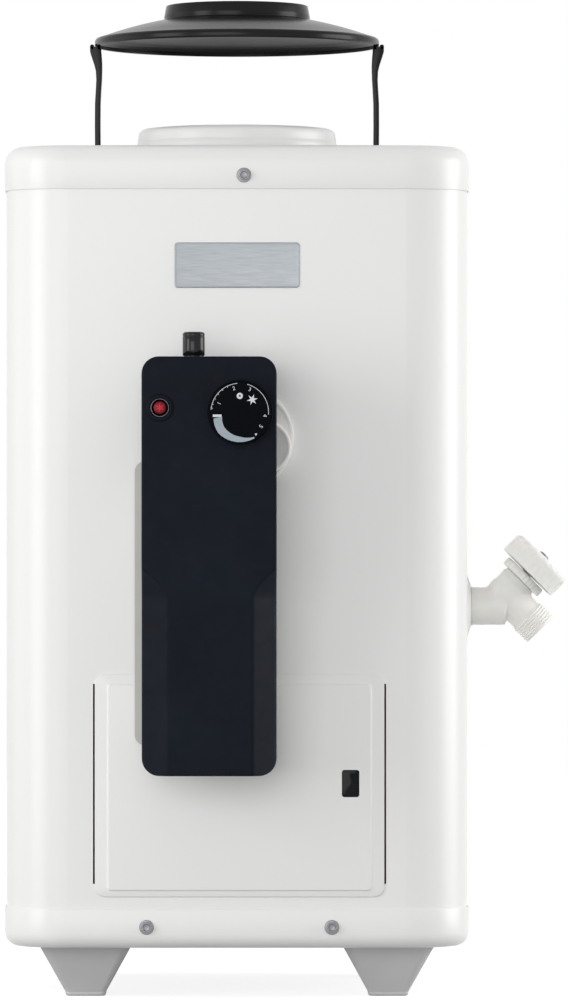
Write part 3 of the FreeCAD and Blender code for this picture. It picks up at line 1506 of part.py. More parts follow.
def drain_moving_parts():
    """The washer on its seat, the stem and the handle with its screw."""
    low = -s.seat_depth
    washer = tilted_body("drain_washer", low - s.washer_disc_height)
    turned(washer, "Z", (0, 0), (s.washer_disc_radius, 0),
           (s.washer_disc_radius, s.washer_disc_height), (0, s.washer_disc_height))
    stem = tilted_body("drain_stem", low)
    hub_top = handle_top - s.handle_wall
    pad(stem, "XY", 0, hub_top - low, circle(0, 0, s.stem_radius))
    cut(stem, "XY", hub_top - low, s.shank_length, circle(0, 0, s.shank_radius + s.shank_gap))
    handle = tilted_body("drain_handle", s.handle_base)
    radius, tall, edge, wall = s.handle_radius, s.handle_height, s.handle_edge, s.handle_wall
    turned(handle, "Z", (s.stem_radius + s.shank_gap, 0), (s.handle_hub, 0),
           (s.handle_hub, tall - wall * 2), (radius - wall, tall - wall * 2), (radius - wall, 0),
           (radius, 0), (radius, tall - edge), (radius - edge, tall, edge, 1),
           (s.handle_hub, tall), (s.shank_radius + s.shank_gap, tall),
           (s.shank_radius + s.shank_gap, tall - wall), (s.stem_radius + s.shank_gap, tall - wall))
    x, y, z = on_bonnet(handle_top)
    up = ((0, 1, 0), 90 - s.drain_tilt)
    under = on_bonnet(handle_top - s.shank_length)
    parts = [cylinder("handle_screw_head", s.handle_screw_radius, s.handle_screw_height, x, y, z, *up),
             cylinder("handle_screw_shank", s.shank_radius, s.shank_length, *under, *up)]
    node(fused("drain_handle_screw", parts), "drain_handle_screw")


# Places that more than one piece shares
leg_slot_x = s.leg_thick + s.leg_slot_gap * 2
leg_slot_y = s.leg_tab_width + s.leg_slot_gap * 2
hook_low = emboss_high + s.hook_above_emboss
drain_barrel_z = drain_z - s.barrel_drop
burner_low = tray_z + s.burner_rise
orifice_z = tray_floor + s.shield_rise


def write_parts():
    """Check every object, then write each sub-part to its own file."""
    document.recompute()
    for item in document.Objects:
        if "Invalid" in item.State or "Error" in item.State:
            raise RuntimeError("%s did not build: %s" % (item.Label, item.State))
    os.makedirs("parts", exist_ok=True)
    for item in nodes:
        shape = item.Shape
        if shape.isNull() or not shape.isValid():
            raise RuntimeError("%s has no sound shape" % item.Label)
        shape.exportStep("parts/%s.step" % item.Label)
        print("%-24s %d solid %10.1f mm3" % (item.Label, len(shape.Solids), shape.Volume))


jacket_shell()
top_cover()
base_tray()
feet()
foot_bolts()
sheet_screws("cover_screws", front_screws()[:1])
sheet_screws("tray_screws", tray_screw_places())
flue_collar()
flue_tube()
flue_baffle()
draft_hood()
hood_legs()
tank_shell()
tank_heads()
anode_rod()
insulation()
tank_skirt()
floor_shield()
burner_bracket()
burner()
supply_pipes()
orifice_fitting()
pilot_parts()
water_nipples()
nameplate()
access_door()
sight_glass()
thermostat_escutcheon()
gas_valve()
rear_plate()
control_cover()
gas_inlet_nipple()
dial_spindle()
dial_knob()
igniter()
drain_flange()
drain_body()
drain_bonnet_nut()
drain_moving_parts()
write_parts()
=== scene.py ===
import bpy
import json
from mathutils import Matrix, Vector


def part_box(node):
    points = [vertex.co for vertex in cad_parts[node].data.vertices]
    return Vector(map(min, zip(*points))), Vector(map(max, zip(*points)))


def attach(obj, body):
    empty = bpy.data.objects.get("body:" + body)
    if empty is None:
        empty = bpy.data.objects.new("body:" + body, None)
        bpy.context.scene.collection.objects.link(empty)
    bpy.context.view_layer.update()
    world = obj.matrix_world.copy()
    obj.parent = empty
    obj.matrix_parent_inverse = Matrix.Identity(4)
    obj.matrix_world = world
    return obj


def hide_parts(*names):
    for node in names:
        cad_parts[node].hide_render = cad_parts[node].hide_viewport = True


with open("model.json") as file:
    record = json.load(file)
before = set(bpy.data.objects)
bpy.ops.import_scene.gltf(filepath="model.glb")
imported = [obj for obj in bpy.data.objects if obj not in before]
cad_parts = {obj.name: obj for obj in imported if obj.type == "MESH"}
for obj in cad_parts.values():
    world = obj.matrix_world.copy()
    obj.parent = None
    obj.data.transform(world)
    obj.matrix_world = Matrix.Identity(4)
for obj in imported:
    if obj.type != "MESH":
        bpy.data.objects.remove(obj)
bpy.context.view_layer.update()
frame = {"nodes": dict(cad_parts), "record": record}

import json
import math

import bmesh
import bpy
from bpy.props import FloatProperty, FloatVectorProperty, PointerProperty
from bpy.types import Operator, Panel, PropertyGroup
from mathutils import Matrix, Vector

bl_info = {
    "name": "Gas water heater",
    "version": (1, 0, 0),
    "blender": (4, 5, 0),
    "location": "3D View > Sidebar > Heater",
    "description": "Dresses the packed water heater and sets it on its stage",
    "category": "Object",
}

MM = 0.001
SHEET = 163.7  # from the casing's axis to its sheet, in millimetres
BOLT_HOLE = 3.15  # radius of the bolt holes in the tray and the feet
STEM_HOLE = 4.08  # radius of the bonnet nut's hole for the stem
TANK_PORT = 131  # where the drain valve's shank starts in the tank's port
HOSE_THREAD = 14  # length of the hose thread
PIXEL = 0.692  # millimetres at the dial's face to a pixel of the photograph
lid_low, lid_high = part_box("top_cover")
AXIS = (lid_low + lid_high) / 2 / MM
AXIS.z = 0


# Properties: sizes are kept in metres and read in millimetres from the casing's axis

def length(title, about, millimetres):
    return FloatProperty(name=title, description=about, default=millimetres * MM,
                         unit="LENGTH", precision=5)


def linear(*shades):
    """The linear colour of three shades from 0 to 255."""
    return tuple((v / 255 / 12.92) if v <= 10 else ((v / 255 + 0.055) / 1.055) ** 2.4 for v in shades)


def tint(title, about, *shades):
    return FloatVectorProperty(name=title, description=about, default=linear(*shades), size=3,
                               min=0, max=1, subtype="COLOR")


class HeaterCasing(PropertyGroup):
    half: length("Half width", "From the casing's axis to the lid's side", 165)
    corner: length("Corner", "Radius of the lid's and tray's upright corners", 46)
    wall: length("Sheet", "Thickness of the lid, tray and collar", 1)
    lid_low: length("Lid low", "Height of the lid's lower edge", 571.6)
    lid_top: length("Lid top", "Height of the lid's flat top", 602.8)
    lid_round: length("Lid round", "Radius along the lid's top edge", 12)
    tray_low: length("Tray low", "Height of the tray's underside", 36.1)
    tray_top: length("Tray top", "Height of the tray's upper edge", 63.9)
    tray_round: length("Tray round", "Radius along the tray's lower edge", 10)
    hem: length("Hem", "Rounding of the sheet's free edges", 0.35)
    flue_hole: length("Flue hole", "Radius of the lid's flue hole", 46.4)
    air_hole: length("Air hole", "Radius of the tray's air holes", 17)
    air_spread: length("Air spread", "From the axis to each air hole", 52)
    ring_base: length("Ring base", "Radius of the white flue ring at its foot", 74.3)
    ring_shoulder: length("Ring shoulder", "Radius of the flue ring under its shoulder", 71.6)
    ring_top: length("Ring top", "Height of the flue ring's top", 622.6)
    ring_inner: length("Ring inner", "Radius of the flue ring's mouth", 45.3)
    foot_spread: length("Foot spread", "From the axis to each foot", 107.5)
    foot_top: length("Foot top", "Half width of a foot under the tray", 32.35)
    foot_low: length("Foot low", "Half width of a foot at the floor", 14.2)


class HeaterHood(PropertyGroup):
    rim: length("Rim radius", "Radius of the hood's rolled rim", 103.5)
    rim_z: length("Rim height", "Height of the rim's lower edge", 683)
    lip: length("Lip", "Height of the rolled rim band", 6.4)
    collar: length("Collar radius", "Radius of the pipe collar at its top", 51.65)
    collar_flare: length("Collar flare", "How much wider the collar is at its root", 1.5)
    root_z: length("Root height", "Height of the collar's root", 702.2)
    top: length("Top height", "Height of the collar's top", 712.7)
    wall: length("Wall", "Thickness of the spun sheet", 1.2)
    leg_spread: length("Leg spread", "From the axis to each leg", 101.2)
    leg_thick: length("Leg thickness", "Thickness of the strap seen from the front", 4.1)
    leg_width: length("Leg width", "Depth of the strap from front to back", 14)


class HeaterDoor(PropertyGroup):
    x: length("Door middle", "Sideways place of the door's middle", 1.8)
    half: length("Half width", "Half width of the door", 102)
    low: length("Low edge", "Height of the door's lower edge", 72.6)
    high: length("High edge", "Height of the door's upper edge", 229.6)
    back: length("Back", "Distance of the door's back from the casing's axis", 164)
    wall: length("Sheet", "Thickness of the door", 0.9)
    corner: length("Corner", "Radius of the door's corners", 7)
    raised_half: length("Raised half width", "Half width of the raised panel", 93.1)
    raised_low: length("Raised low", "Height of the raised panel's lower edge", 76.8)
    raised_high: length("Raised high", "Height of the raised panel's upper edge", 222.6)
    rise: length("Rise", "How far the panel stands forward", 1.3)
    raised_corner: length("Raised corner", "Radius of the raised panel's corners", 3)
    window_x: length("Window middle", "Sideways place of the window", 80)
    window_z: length("Window height", "Height of the window's middle", 152.5)
    window_half: length("Window half width", "Half width of the window", 6.15)
    window_tall: length("Window half height", "Half height of the window", 9.6)
    window_corner: length("Window corner", "Radius of the window's corners", 1.8)


class HeaterControl(PropertyGroup):
    left: length("Left", "Left side of the control cover", -66.4)
    right: length("Right", "Right side of the control cover", 27.6)
    low: length("Low", "Height of the cover's lower end", 159.8)
    high: length("High", "Height of the cover's upper end", 451.6)
    back: length("Back", "Distance of the cover's open back from the axis", 191.7)
    depth: length("Depth", "Depth of the cover", 42)
    wall: length("Wall", "Thickness of the moulding", 2)
    corner: length("Corner", "Radius of the cover's corners seen from the front", 12)
    edge: length("Edge", "Rounding of the cover's front edges", 1.6)
    bevel_left: length("Left bevel", "Width of the left bevel", 17.8)
    bevel_right: length("Right bevel", "Width of the right bevel", 16.5)
    bevel_depth: length("Bevel depth", "Depth of both bevels at the cover's sides", 14)
    bevel_high: length("Bevel height", "Where the bevels start to run out", 283)
    bevel_run: length("Bevel run", "Height over which a bevel runs out", 21.5)
    dial_x: length("Dial middle", "Sideways place of the dial", 1.9)
    dial_z: length("Dial height", "Height of the dial's middle", 412.5)
    dial_radius: length("Dial radius", "Radius of the dial", 21.5)
    dial_back: length("Dial back", "Distance of the dial's back from the axis", 238.5)
    dial_front: length("Dial front", "Distance of the dial's face from the axis", 250.7)
    spindle: length("Spindle", "Radius of the dial's spindle", 4)
    igniter_x: length("Igniter middle", "Sideways place of the igniter", -53.6)
    igniter_z: length("Igniter height", "Height of the igniter's middle", 415.8)
    bezel: length("Bezel", "Radius of the igniter's ring", 9.6)
    button: length("Button", "Radius of the igniter's button", 4.3)
    inlet_x: length("Inlet middle", "Sideways place of the gas nipple", -30.2)
    inlet_y: length("Inlet depth", "Distance of the gas nipple from the axis", 212.7)
    inlet_radius: length("Inlet radius", "Radius of the gas nipple", 7.75)
    inlet_top: length("Inlet top", "Height of the gas nipple's end", 469.1)
    plate_z: length("Nameplate height", "Height of the nameplate's middle", 517.7)
    plate_half: length("Nameplate half width", "Half width of the nameplate", 44.05)
    plate_tall: length("Nameplate half height", "Half height of the nameplate", 15.95)
    disc_x: length("Disc middle", "Sideways place of the white disc", 4.2)
    disc_z: length("Disc height", "Height of the white disc's middle", 395.9)
    disc_radius: length("Disc radius", "Radius of the white disc behind the cover", 36)
    boss_x: length("Boss middle", "Sideways place of the disc's boss", 19.7)
    boss_z: length("Boss height", "Height of the boss's middle", 389.5)
    boss_radius: length("Boss radius", "Radius of the disc's boss", 18.7)


class HeaterDrain(PropertyGroup):
    x: length("Corner", "Sideways place of the valve's corner", 195.3)
    z: length("Corner height", "Height of the valve's corner", 284.5)
    barrel_z: length("Barrel height", "Height of the barrel's middle", 276.1)
    barrel: length("Barrel radius", "Radius of the barrel", 13.7)
    wall_x: length("Casing side", "Where the flange lies on the casing", SHEET)
    flange: length("Flange radius", "Radius of the cone flange", 33)
    flange_face: length("Flange face", "Radius of the cone flange's face", 14.9)
    flange_height: length("Flange height", "How far the cone stands out", 6.4)
    bonnet: length("Bonnet radius", "Radius of the bonnet's neck", 13.3)
    bonnet_length: length("Bonnet length", "From the corner to the nut", 15.2)
    nut: length("Nut radius", "Radius of the bonnet nut", 17.4)
    nut_height: length("Nut height", "Height of the bonnet nut", 6)
    handle: length("Handle radius", "Radius of the handle", 24.2)
    handle_base: length("Handle base", "From the corner to the handle's open side", 22.6)
    handle_height: length("Handle height", "Height of the handle", 16.7)
    outlet: length("Outlet radius", "Radius over the hose thread", 13.44)
    outlet_neck: length("Outlet neck", "Radius under the hose thread", 12.4)
    outlet_length: length("Outlet length", "From the corner to the outlet's end", 35.7)
    outlet_bore: length("Outlet bore", "Radius of the outlet's bore", 9)
    pitch: length("Thread pitch", "Pitch of the hose thread", 2.2)


class HeaterFinish(PropertyGroup):
    enamel: tint("Enamel", "White enamel of the casing", 238, 238, 237)
    foot: tint("Feet", "Grey of the feet", 206, 206, 206)
    hood: tint("Hood", "Satin black of the hood and its legs", 18, 18, 19)
    nameplate: tint("Nameplate", "Brushed metal of the nameplate", 142, 146, 150)
    cover: tint("Control cover", "Near-black plastic of the control cover", 14, 19, 28)
    dial: tint("Dial", "Gloss black of the dial", 2, 4, 8)
    marks: tint("Marks", "Pale print on the dial", 214, 218, 222)
    arc: tint("Arc", "Grey arc on the dial", 152, 164, 174)
    red: tint("Igniter", "Red of the igniter button", 126, 8, 24)
    # Painted highlight: the button's raised ribs get a brighter red than the button, standing in for the
    # light they catch
    ribs: tint("Igniter ribs", "Brighter red where the button's ribs are worn smooth", 206, 28, 54)
    offwhite: tint("Off-white", "Plate behind the control cover", 200, 200, 194)
    disc: tint("Disc", "White disc and boss behind the control cover", 246, 245, 242)
    nylon: tint("Nylon", "Drain valve", 243, 242, 238)
    zinc: tint("Zinc", "Plated screws", 128, 129, 132)
    inlet: tint("Gas nipple", "Dark glossy plating", 10, 12, 16)
    glass: tint("Window", "Dark glass of the sight window", 8, 10, 13)


class HeaterStage(PropertyGroup):
    distance: length("Camera distance", "From the casing's axis to the camera", 5096)
    height: length("Camera height", "Height of the camera", 320.5)
    lens: FloatProperty(name="Lens", description="Focal length for a sensor of 24 mm", default=168)
    shift_x: FloatProperty(name="Shift across", description="Sideways shift of the frame", default=0.047)
    shift_y: FloatProperty(name="Shift up", description="Upward shift of the frame", default=0.045)
    ambient: FloatProperty(name="Ambient", description="Light from all round", default=0.56)
    floor: FloatProperty(name="Floor size", description="Side of the floor", default=9, unit="LENGTH")


GROUPS = {"casing": HeaterCasing, "hood": HeaterHood, "door": HeaterDoor, "control": HeaterControl,
          "drain": HeaterDrain, "finish": HeaterFinish, "stage": HeaterStage}


def group(name):
    return getattr(bpy.context.scene, "heater_" + name)


class Sizes:
    """Reads a property group's lengths in millimetres."""

    def __init__(self, name):
        self.group = group(name)

    def __getattr__(self, name):
        return getattr(self.group, name) / MM


# Forms: a form is a list of points in millimetres and a list of faces

def arc(x, y, radius, start, end, steps):
    """Points on an arc from one angle to another, in degrees."""
    angles = [math.radians(start + (end - start) * i / steps) for i in range(steps + 1)]
    return [(x + radius * math.cos(a), y + radius * math.sin(a)) for a in angles]


def rounded(half_x, half_y, corner, x=0, y=0, steps=10):
    """The outline of a rectangle with round corners, anticlockwise."""
    corner = max(corner, 0.05)
    points = []
    for quarter, (right, up) in enumerate(((1, -1), (1, 1), (-1, 1), (-1, -1))):
        points += arc(x + right * (half_x - corner), y + up * (half_y - corner), corner,
                      quarter * 90 - 90, quarter * 90, steps)
    return points


def ring_at(z, half_x, half_y, corner, x=0, y=0, steps=10):
    """The outline of a rectangle with round corners, laid at one height."""
    return [(a, b, z) for a, b in rounded(half_x, half_y, corner, x, y, steps)]


def loft(rings, first=False, last=False, endless=False):
    """Joins rings of equal count, with a cap on the first or last, or round from last to first."""
    count = len(rings[0])
    points = [Vector(p) for ring in rings for p in ring]
    faces = []
    for i in range(len(rings) if endless else len(rings) - 1):
        low, high = i * count, (i + 1) % len(rings) * count
        for j in range(count):
            k = (j + 1) % count
            faces.append((low + j, low + k, high + k, high + j))
    if first:
        faces.append(tuple(reversed(range(count))))
    if last:
        faces.append(tuple((len(rings) - 1) * count + j for j in range(count)))
    return points, faces


def lathe(profile, steps=96, closed=True, ribs=0, rib_depth=0, ribbed=None):
    """Turns (radius, height) points about Z. Ribs draw the radius in between them."""
    rings = []
    for radius, height in profile:
        ring = []
        for j in range(steps):
            turn = 2 * math.pi * j / steps
            out = radius
            if ribs and ribbed(radius, height):
                out -= rib_depth * (0.5 - 0.5 * math.cos(turn * ribs)) ** 2
            ring.append((out * math.cos(turn), out * math.sin(turn), height))
        rings.append(ring)
    return loft(rings, endless=closed)


def thread(radius, bore, start, end, pitch, depth):
    """A tube with a screw thread from start to end along Z."""
    steps, fade, chamfer = 72, 1.5, 0.6
    rings = []
    count = max(8, int((end - start) / pitch * 10))
    for i in range(count + 1):
        height = start + (end - start) * i / count
        near = min(height - start, end - height) / fade
        full = max(0.0, min(1.0, near))
        ring = []
        for j in range(steps):
            turn = 2 * math.pi * j / steps
            wave = 0.5 + 0.5 * math.cos(2 * math.pi * height / pitch - turn)
            out = radius - depth * (1 - full * min(1.0, wave * 1.35))
            ring.append((out * math.cos(turn), out * math.sin(turn), height))
        rings.append(ring)
    around = [2 * math.pi * j / steps for j in range(steps)]
    for inner, height in ((bore + chamfer, end), (bore, end - chamfer), (bore, start)):
        rings.append([(inner * math.cos(t), inner * math.sin(t), height) for t in around])
    return loft(rings, endless=True)


def bar(left, low, right, high, base, top, soft=0.3):
    """A rounded block over a rectangle, with soft upper edges."""
    x, y = (left + right) / 2, (low + high) / 2
    half_x, half_y = (right - left) / 2, (high - low) / 2
    return loft([ring_at(z, half_x - inset, half_y - inset, max(soft - inset, 0.05), x, y, 3)
                 for inset, z in ((0, base), (0, top - soft), (soft * 0.3, top - soft * 0.3), (soft, top))],
                first=True, last=True)


def moved(form, matrix):
    points, faces = form
    return [matrix @ Vector(p) for p in points], faces


def joined(*forms):
    points, faces = [], []
    for some_points, some_faces in forms:
        start = len(points)
        points += list(some_points)
        faces += [tuple(i + start for i in face) for face in some_faces]
    return points, faces


def facing(way, x, y, z):
    """Stands local Z on a place so that it faces front, rear, left or right."""
    turns = {"front": ((1, 0, 0), (0, 0, -1), (0, 1, 0)),
             "rear": ((-1, 0, 0), (0, 0, 1), (0, 1, 0)),
             "right": ((0, 0, 1), (1, 0, 0), (0, 1, 0)),
             "left": ((0, 0, -1), (-1, 0, 0), (0, 1, 0))}[way]
    return Matrix([row + (at,) for row, at in zip(turns, (x, y, z))] + [(0, 0, 0, 1)])


def slanted(x, z, rise, out=0):
    """Stands local Z at 45 degrees to the right, upwards for 1 and downwards for -1."""
    c = math.sqrt(0.5)
    up = c * rise
    return Matrix(((up, 0, c, x + c * out), (0, 1, 0, 0), (-c, 0, up, z + up * out), (0, 0, 0, 1)))


def mesh_of(name, form):
    points, faces = form
    mesh = bpy.data.meshes.new(name)
    mesh.from_pydata([(Vector(p) + AXIS) * MM for p in points], [], faces)
    work = bmesh.new()
    work.from_mesh(mesh)
    bmesh.ops.remove_doubles(work, verts=work.verts, dist=1e-7)
    bmesh.ops.dissolve_degenerate(work, edges=work.edges, dist=1e-8)
    bmesh.ops.recalc_face_normals(work, faces=work.faces)
    work.to_mesh(mesh)
    work.free()
    return mesh


def baked(thing):
    """Puts the result of a thing's modifiers into its mesh."""
    bpy.context.view_layer.update()
    result = bpy.data.meshes.new_from_object(thing.evaluated_get(bpy.context.evaluated_depsgraph_get()))
    thing.modifiers.clear()
    thing.data = result


def cut_from(thing, *cutters):
    """Takes each cutter form away from a thing."""
    for form in cutters:
        tool = bpy.data.objects.new("cutter", mesh_of("cutter", form))
        bpy.context.scene.collection.objects.link(tool)
        change = thing.modifiers.new("cut", "BOOLEAN")
        change.operation = "DIFFERENCE"
        change.solver = "EXACT"
        change.object = tool
        baked(thing)
        bpy.data.objects.remove(tool)


def soften(thing, degrees):
    """Shades a thing smooth, with sharp edges past an angle."""
    mesh = thing.data
    mesh.polygons.foreach_set("use_smooth", [True] * len(mesh.polygons))
    mesh.set_sharp_from_angle(angle=math.radians(degrees))
    mesh.update()


def piece(name, form, look, body="root", nodes=(), cutters=(), sharp=34, shape=None):
    """Makes one visible piece, cuts it, finishes it and rides it on its body.

    Its slot is named like its look."""
    thing = bpy.data.objects.new(name, mesh_of(name, form))
    bpy.context.scene.collection.objects.link(thing)
    if shape:
        shape(thing)
    cut_from(thing, *cutters)
    thing.data.name = name
    soften(thing, sharp)
    dressed(thing, look, body)
    if nodes:
        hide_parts(*nodes)


def dressed(thing, look, body):
    """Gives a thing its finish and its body."""
    thing.data.materials.clear()
    thing.data.materials.append(finish(look))
    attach(thing, body)


def peg(radius, low, high, steps=64):
    """A plain round cutter."""
    return lathe([(0, low), (radius, low), (radius, high), (0, high)], steps, closed=False)


# Finishes

class Surface:
    """One procedural material: a shader, coordinates in millimetres, and helpers to link them."""

    def __init__(self, name, colour, rough, metal=0.0, glint=0.5):
        self.material = bpy.data.materials.new(name)
        self.material.use_nodes = True
        tree = self.material.node_tree
        self.nodes, self.links = tree.nodes, tree.links
        self.shader = self.nodes["Principled BSDF"]
        self.colour = tuple(colour)
        self.set("Base Color", self.colour + (1,))
        self.set("Roughness", rough)
        self.set("Metallic", metal)
        self.set("Specular IOR Level", glint)
        self.rough = rough
        self.spot = self.node("ShaderNodeTexCoord").outputs["Object"]

    def node(self, kind, inputs=None, **settings):
        made = self.nodes.new(kind)
        for key, value in settings.items():
            setattr(made, key, value)
        for key, value in (inputs or {}).items():
            if isinstance(value, bpy.types.NodeSocket):
                self.links.new(value, made.inputs[key])
            else:
                made.inputs[key].default_value = value
        return made

    def set(self, socket, value):
        if isinstance(value, bpy.types.NodeSocket):
            self.links.new(value, self.shader.inputs[socket])
        else:
            self.shader.inputs[socket].default_value = value

    def place(self, stretch=(1, 1, 1), centre=(0, 0, 0)):
        """Object coordinates in millimetres from a centre, stretched along each axis."""
        scale = tuple(1 / MM / s for s in stretch)
        shift = tuple(-c / MM / s for c, s in zip(centre, stretch))
        return self.node("ShaderNodeMapping", {"Vector": self.spot, "Scale": scale,
                                               "Location": shift}).outputs["Vector"]

    def noise(self, grain, stretch=(1, 1, 1), detail=3.0):
        """Soft noise whose patches are about the grain's size, in millimetres."""
        return self.node("ShaderNodeTexNoise", {"Vector": self.place(stretch), "Scale": 1 / grain,
                                                "Detail": detail, "Roughness": 0.55}).outputs["Fac"]

    def rings(self, grain, centre):
        """Noise that changes only with the distance from an upright axis."""
        flat = self.node("ShaderNodeVectorMath", {0: self.place(centre=centre), 1: (1, 1, 0)},
                         operation="MULTIPLY").outputs["Vector"]
        away = self.node("ShaderNodeVectorMath", {0: flat}, operation="LENGTH").outputs["Value"]
        tall = self.node("ShaderNodeSeparateXYZ", {0: self.place()}).outputs["Z"]
        both = self.node("ShaderNodeMath", {0: away, 1: tall}, operation="ADD").outputs[0]
        return self.node("ShaderNodeTexNoise", {"W": both, "Scale": 1 / grain, "Detail": 2.0},
                         noise_dimensions="1D").outputs["Fac"]

    def span(self, value, low, high, start=0.3, end=0.7):
        """Maps a value between start and end to low and high."""
        return self.node("ShaderNodeMapRange", {"Value": value, "From Min": start, "From Max": end,
                                                "To Min": low, "To Max": high}).outputs["Result"]

    def vary_colour(self, value, darker, lighter, start=0.3, end=0.7):
        """Runs the colour from a darker to a lighter multiple of itself."""
        ramp = self.node("ShaderNodeMix", {"Factor": self.span(value, 0, 1, start, end)},
                         data_type="RGBA")
        for key, scale in (("A", darker), ("B", lighter)):
            mixed = tuple(min(1.0, c * scale) for c in self.colour) + (1,)
            [s for s in ramp.inputs if s.name == key and s.type == "RGBA"][0].default_value = mixed
        self.set("Base Color", [s for s in ramp.outputs if s.type == "RGBA"][0])
        return self

    def vary_rough(self, value, less, more, start=0.3, end=0.7):
        self.set("Roughness", self.span(value, self.rough - less, self.rough + more, start, end))
        return self

    def bumps(self, *layers):
        """Layers of (height, distance in millimetres, strength), one on the other."""
        normal = None
        for height, distance, strength in layers:
            inputs = {"Height": height, "Distance": distance * MM, "Strength": strength}
            if normal:
                inputs["Normal"] = normal
            normal = self.node("ShaderNodeBump", inputs).outputs["Normal"]
        self.set("Normal", normal)
        return self


def enamel(name, colour):
    """Baked enamel: a faint orange peel, and a tone that barely drifts."""
    s = Surface(name, colour, 0.32)
    s.vary_colour(s.noise(240, detail=1), 0.99, 1.006, 0.1, 0.9)
    s.vary_rough(s.noise(70, detail=1), 0.03, 0.03, 0.1, 0.9)
    return s.bumps((s.noise(5, detail=1), 0.012, 0.2), (s.noise(0.9, detail=1), 0.004, 0.15)).material


def moulded(name, colour, rough, grain=0.35, depth=0.03, glint=0.5, drift=0.06):
    """Moulded plastic: fine spark-eroded grain and a slow drift of tone."""
    s = Surface(name, colour, rough, glint=glint)
    s.vary_colour(s.noise(60, detail=2), 1 - drift, 1 + drift)
    s.vary_rough(s.noise(8), 0.05, 0.06)
    return s.bumps((s.noise(grain, detail=2), depth, 0.5), (s.noise(12, detail=1), 0.1, 0.15)).material


def satin_black(name, colour):
    """Heat-proof satin black on spun sheet, with faint turning lines."""
    s = Surface(name, colour, 0.24, glint=0.17)
    centre = (AXIS.x * MM, AXIS.y * MM, 0)
    s.vary_colour(s.noise(60, detail=1), 0.93, 1.07, 0.1, 0.9)
    s.vary_rough(s.noise(30, detail=1), 0.02, 0.02, 0.1, 0.9)
    return s.bumps((s.rings(2.2, centre), 0.006, 0.3), (s.noise(0.7, detail=1), 0.002, 0.2)).material


def plain_metal(name, colour, rough, grain, stretch=(1, 1, 1)):
    """Plated or drawn metal with fine lines along the stretch."""
    s = Surface(name, colour, rough, metal=1)
    s.vary_colour(s.noise(grain * 8, stretch), 0.92, 1.08)
    s.vary_rough(s.noise(grain, stretch), 0.07, 0.09)
    return s.bumps((s.noise(grain * 0.4, stretch), 0.01, 0.5)).material


def brushed(name, colour):
    """Brushed plate: long lines across, under a clear lacquer."""
    s = Surface(name, colour, 0.42, metal=1)
    lines = s.noise(0.18, (60, 1, 1), detail=4)
    s.vary_colour(lines, 0.86, 1.06)
    s.vary_rough(s.noise(0.5, (40, 1, 1)), 0.06, 0.08)
    return s.bumps((lines, 0.01, 0.35)).material


def gloss(name, colour, rough, drift=0.1, glint=0.5):
    """Gloss plastic or plating with hair-fine scuffs."""
    s = Surface(name, colour, rough, glint=glint)
    s.vary_colour(s.noise(20), 1 - drift, 1 + drift)
    s.vary_rough(s.noise(4, (1, 3, 1)), 0.02, 0.03, 0.1, 0.9)
    return s.bumps((s.noise(9, detail=1), 0.008, 0.15), (s.noise(0.5), 0.002, 0.2)).material


def nylon(name, colour):
    """Off-white nylon that lets a little light in."""
    s = Surface(name, colour, 0.42)
    s.set("Subsurface Weight", 0.25)
    s.set("Subsurface Radius", (1.0, 0.9, 0.75))
    s.set("Subsurface Scale", 0.003)
    s.vary_colour(s.noise(14), 0.96, 1.02)
    s.vary_rough(s.noise(5), 0.06, 0.08)
    return s.bumps((s.noise(0.7), 0.012, 0.4), (s.noise(9, detail=1), 0.06, 0.2)).material


def galvanised(name, colour):
    """Zinc spangle on pipe."""
    s = Surface(name, colour, 0.42, metal=1)
    cells = s.node("ShaderNodeTexVoronoi", {"Vector": s.place(), "Scale": 0.3}).outputs["Color"]
    tone = s.node("ShaderNodeRGBToBW", {0: cells}).outputs[0]
    s.vary_colour(tone, 0.82, 1.12)
    s.vary_rough(tone, 0.08, 0.1)
    return s.bumps((s.noise(1.1), 0.03, 0.4)).material


def cast(name, colour, rough, metal, grain=1.2, depth=0.12):
    """Cast metal with a sand-rough skin."""
    s = Surface(name, colour, rough, metal=metal)
    s.vary_colour(s.noise(9), 0.78, 1.15)
    s.vary_rough(s.noise(3), 0.08, 0.1)
    return s.bumps((s.noise(grain, detail=4), depth, 0.6)).material


def foam(name, colour):
    """Rigid foam with open cells."""
    s = Surface(name, colour, 0.95, glint=0.2)
    cells = s.node("ShaderNodeTexVoronoi", {"Vector": s.place(), "Scale": 0.45}).outputs["Distance"]
    s.vary_colour(s.noise(16), 0.82, 1.08)
    return s.bumps((cells, 0.6, 0.7), (s.noise(1.5), 0.3, 0.5)).material


_finishes = {}


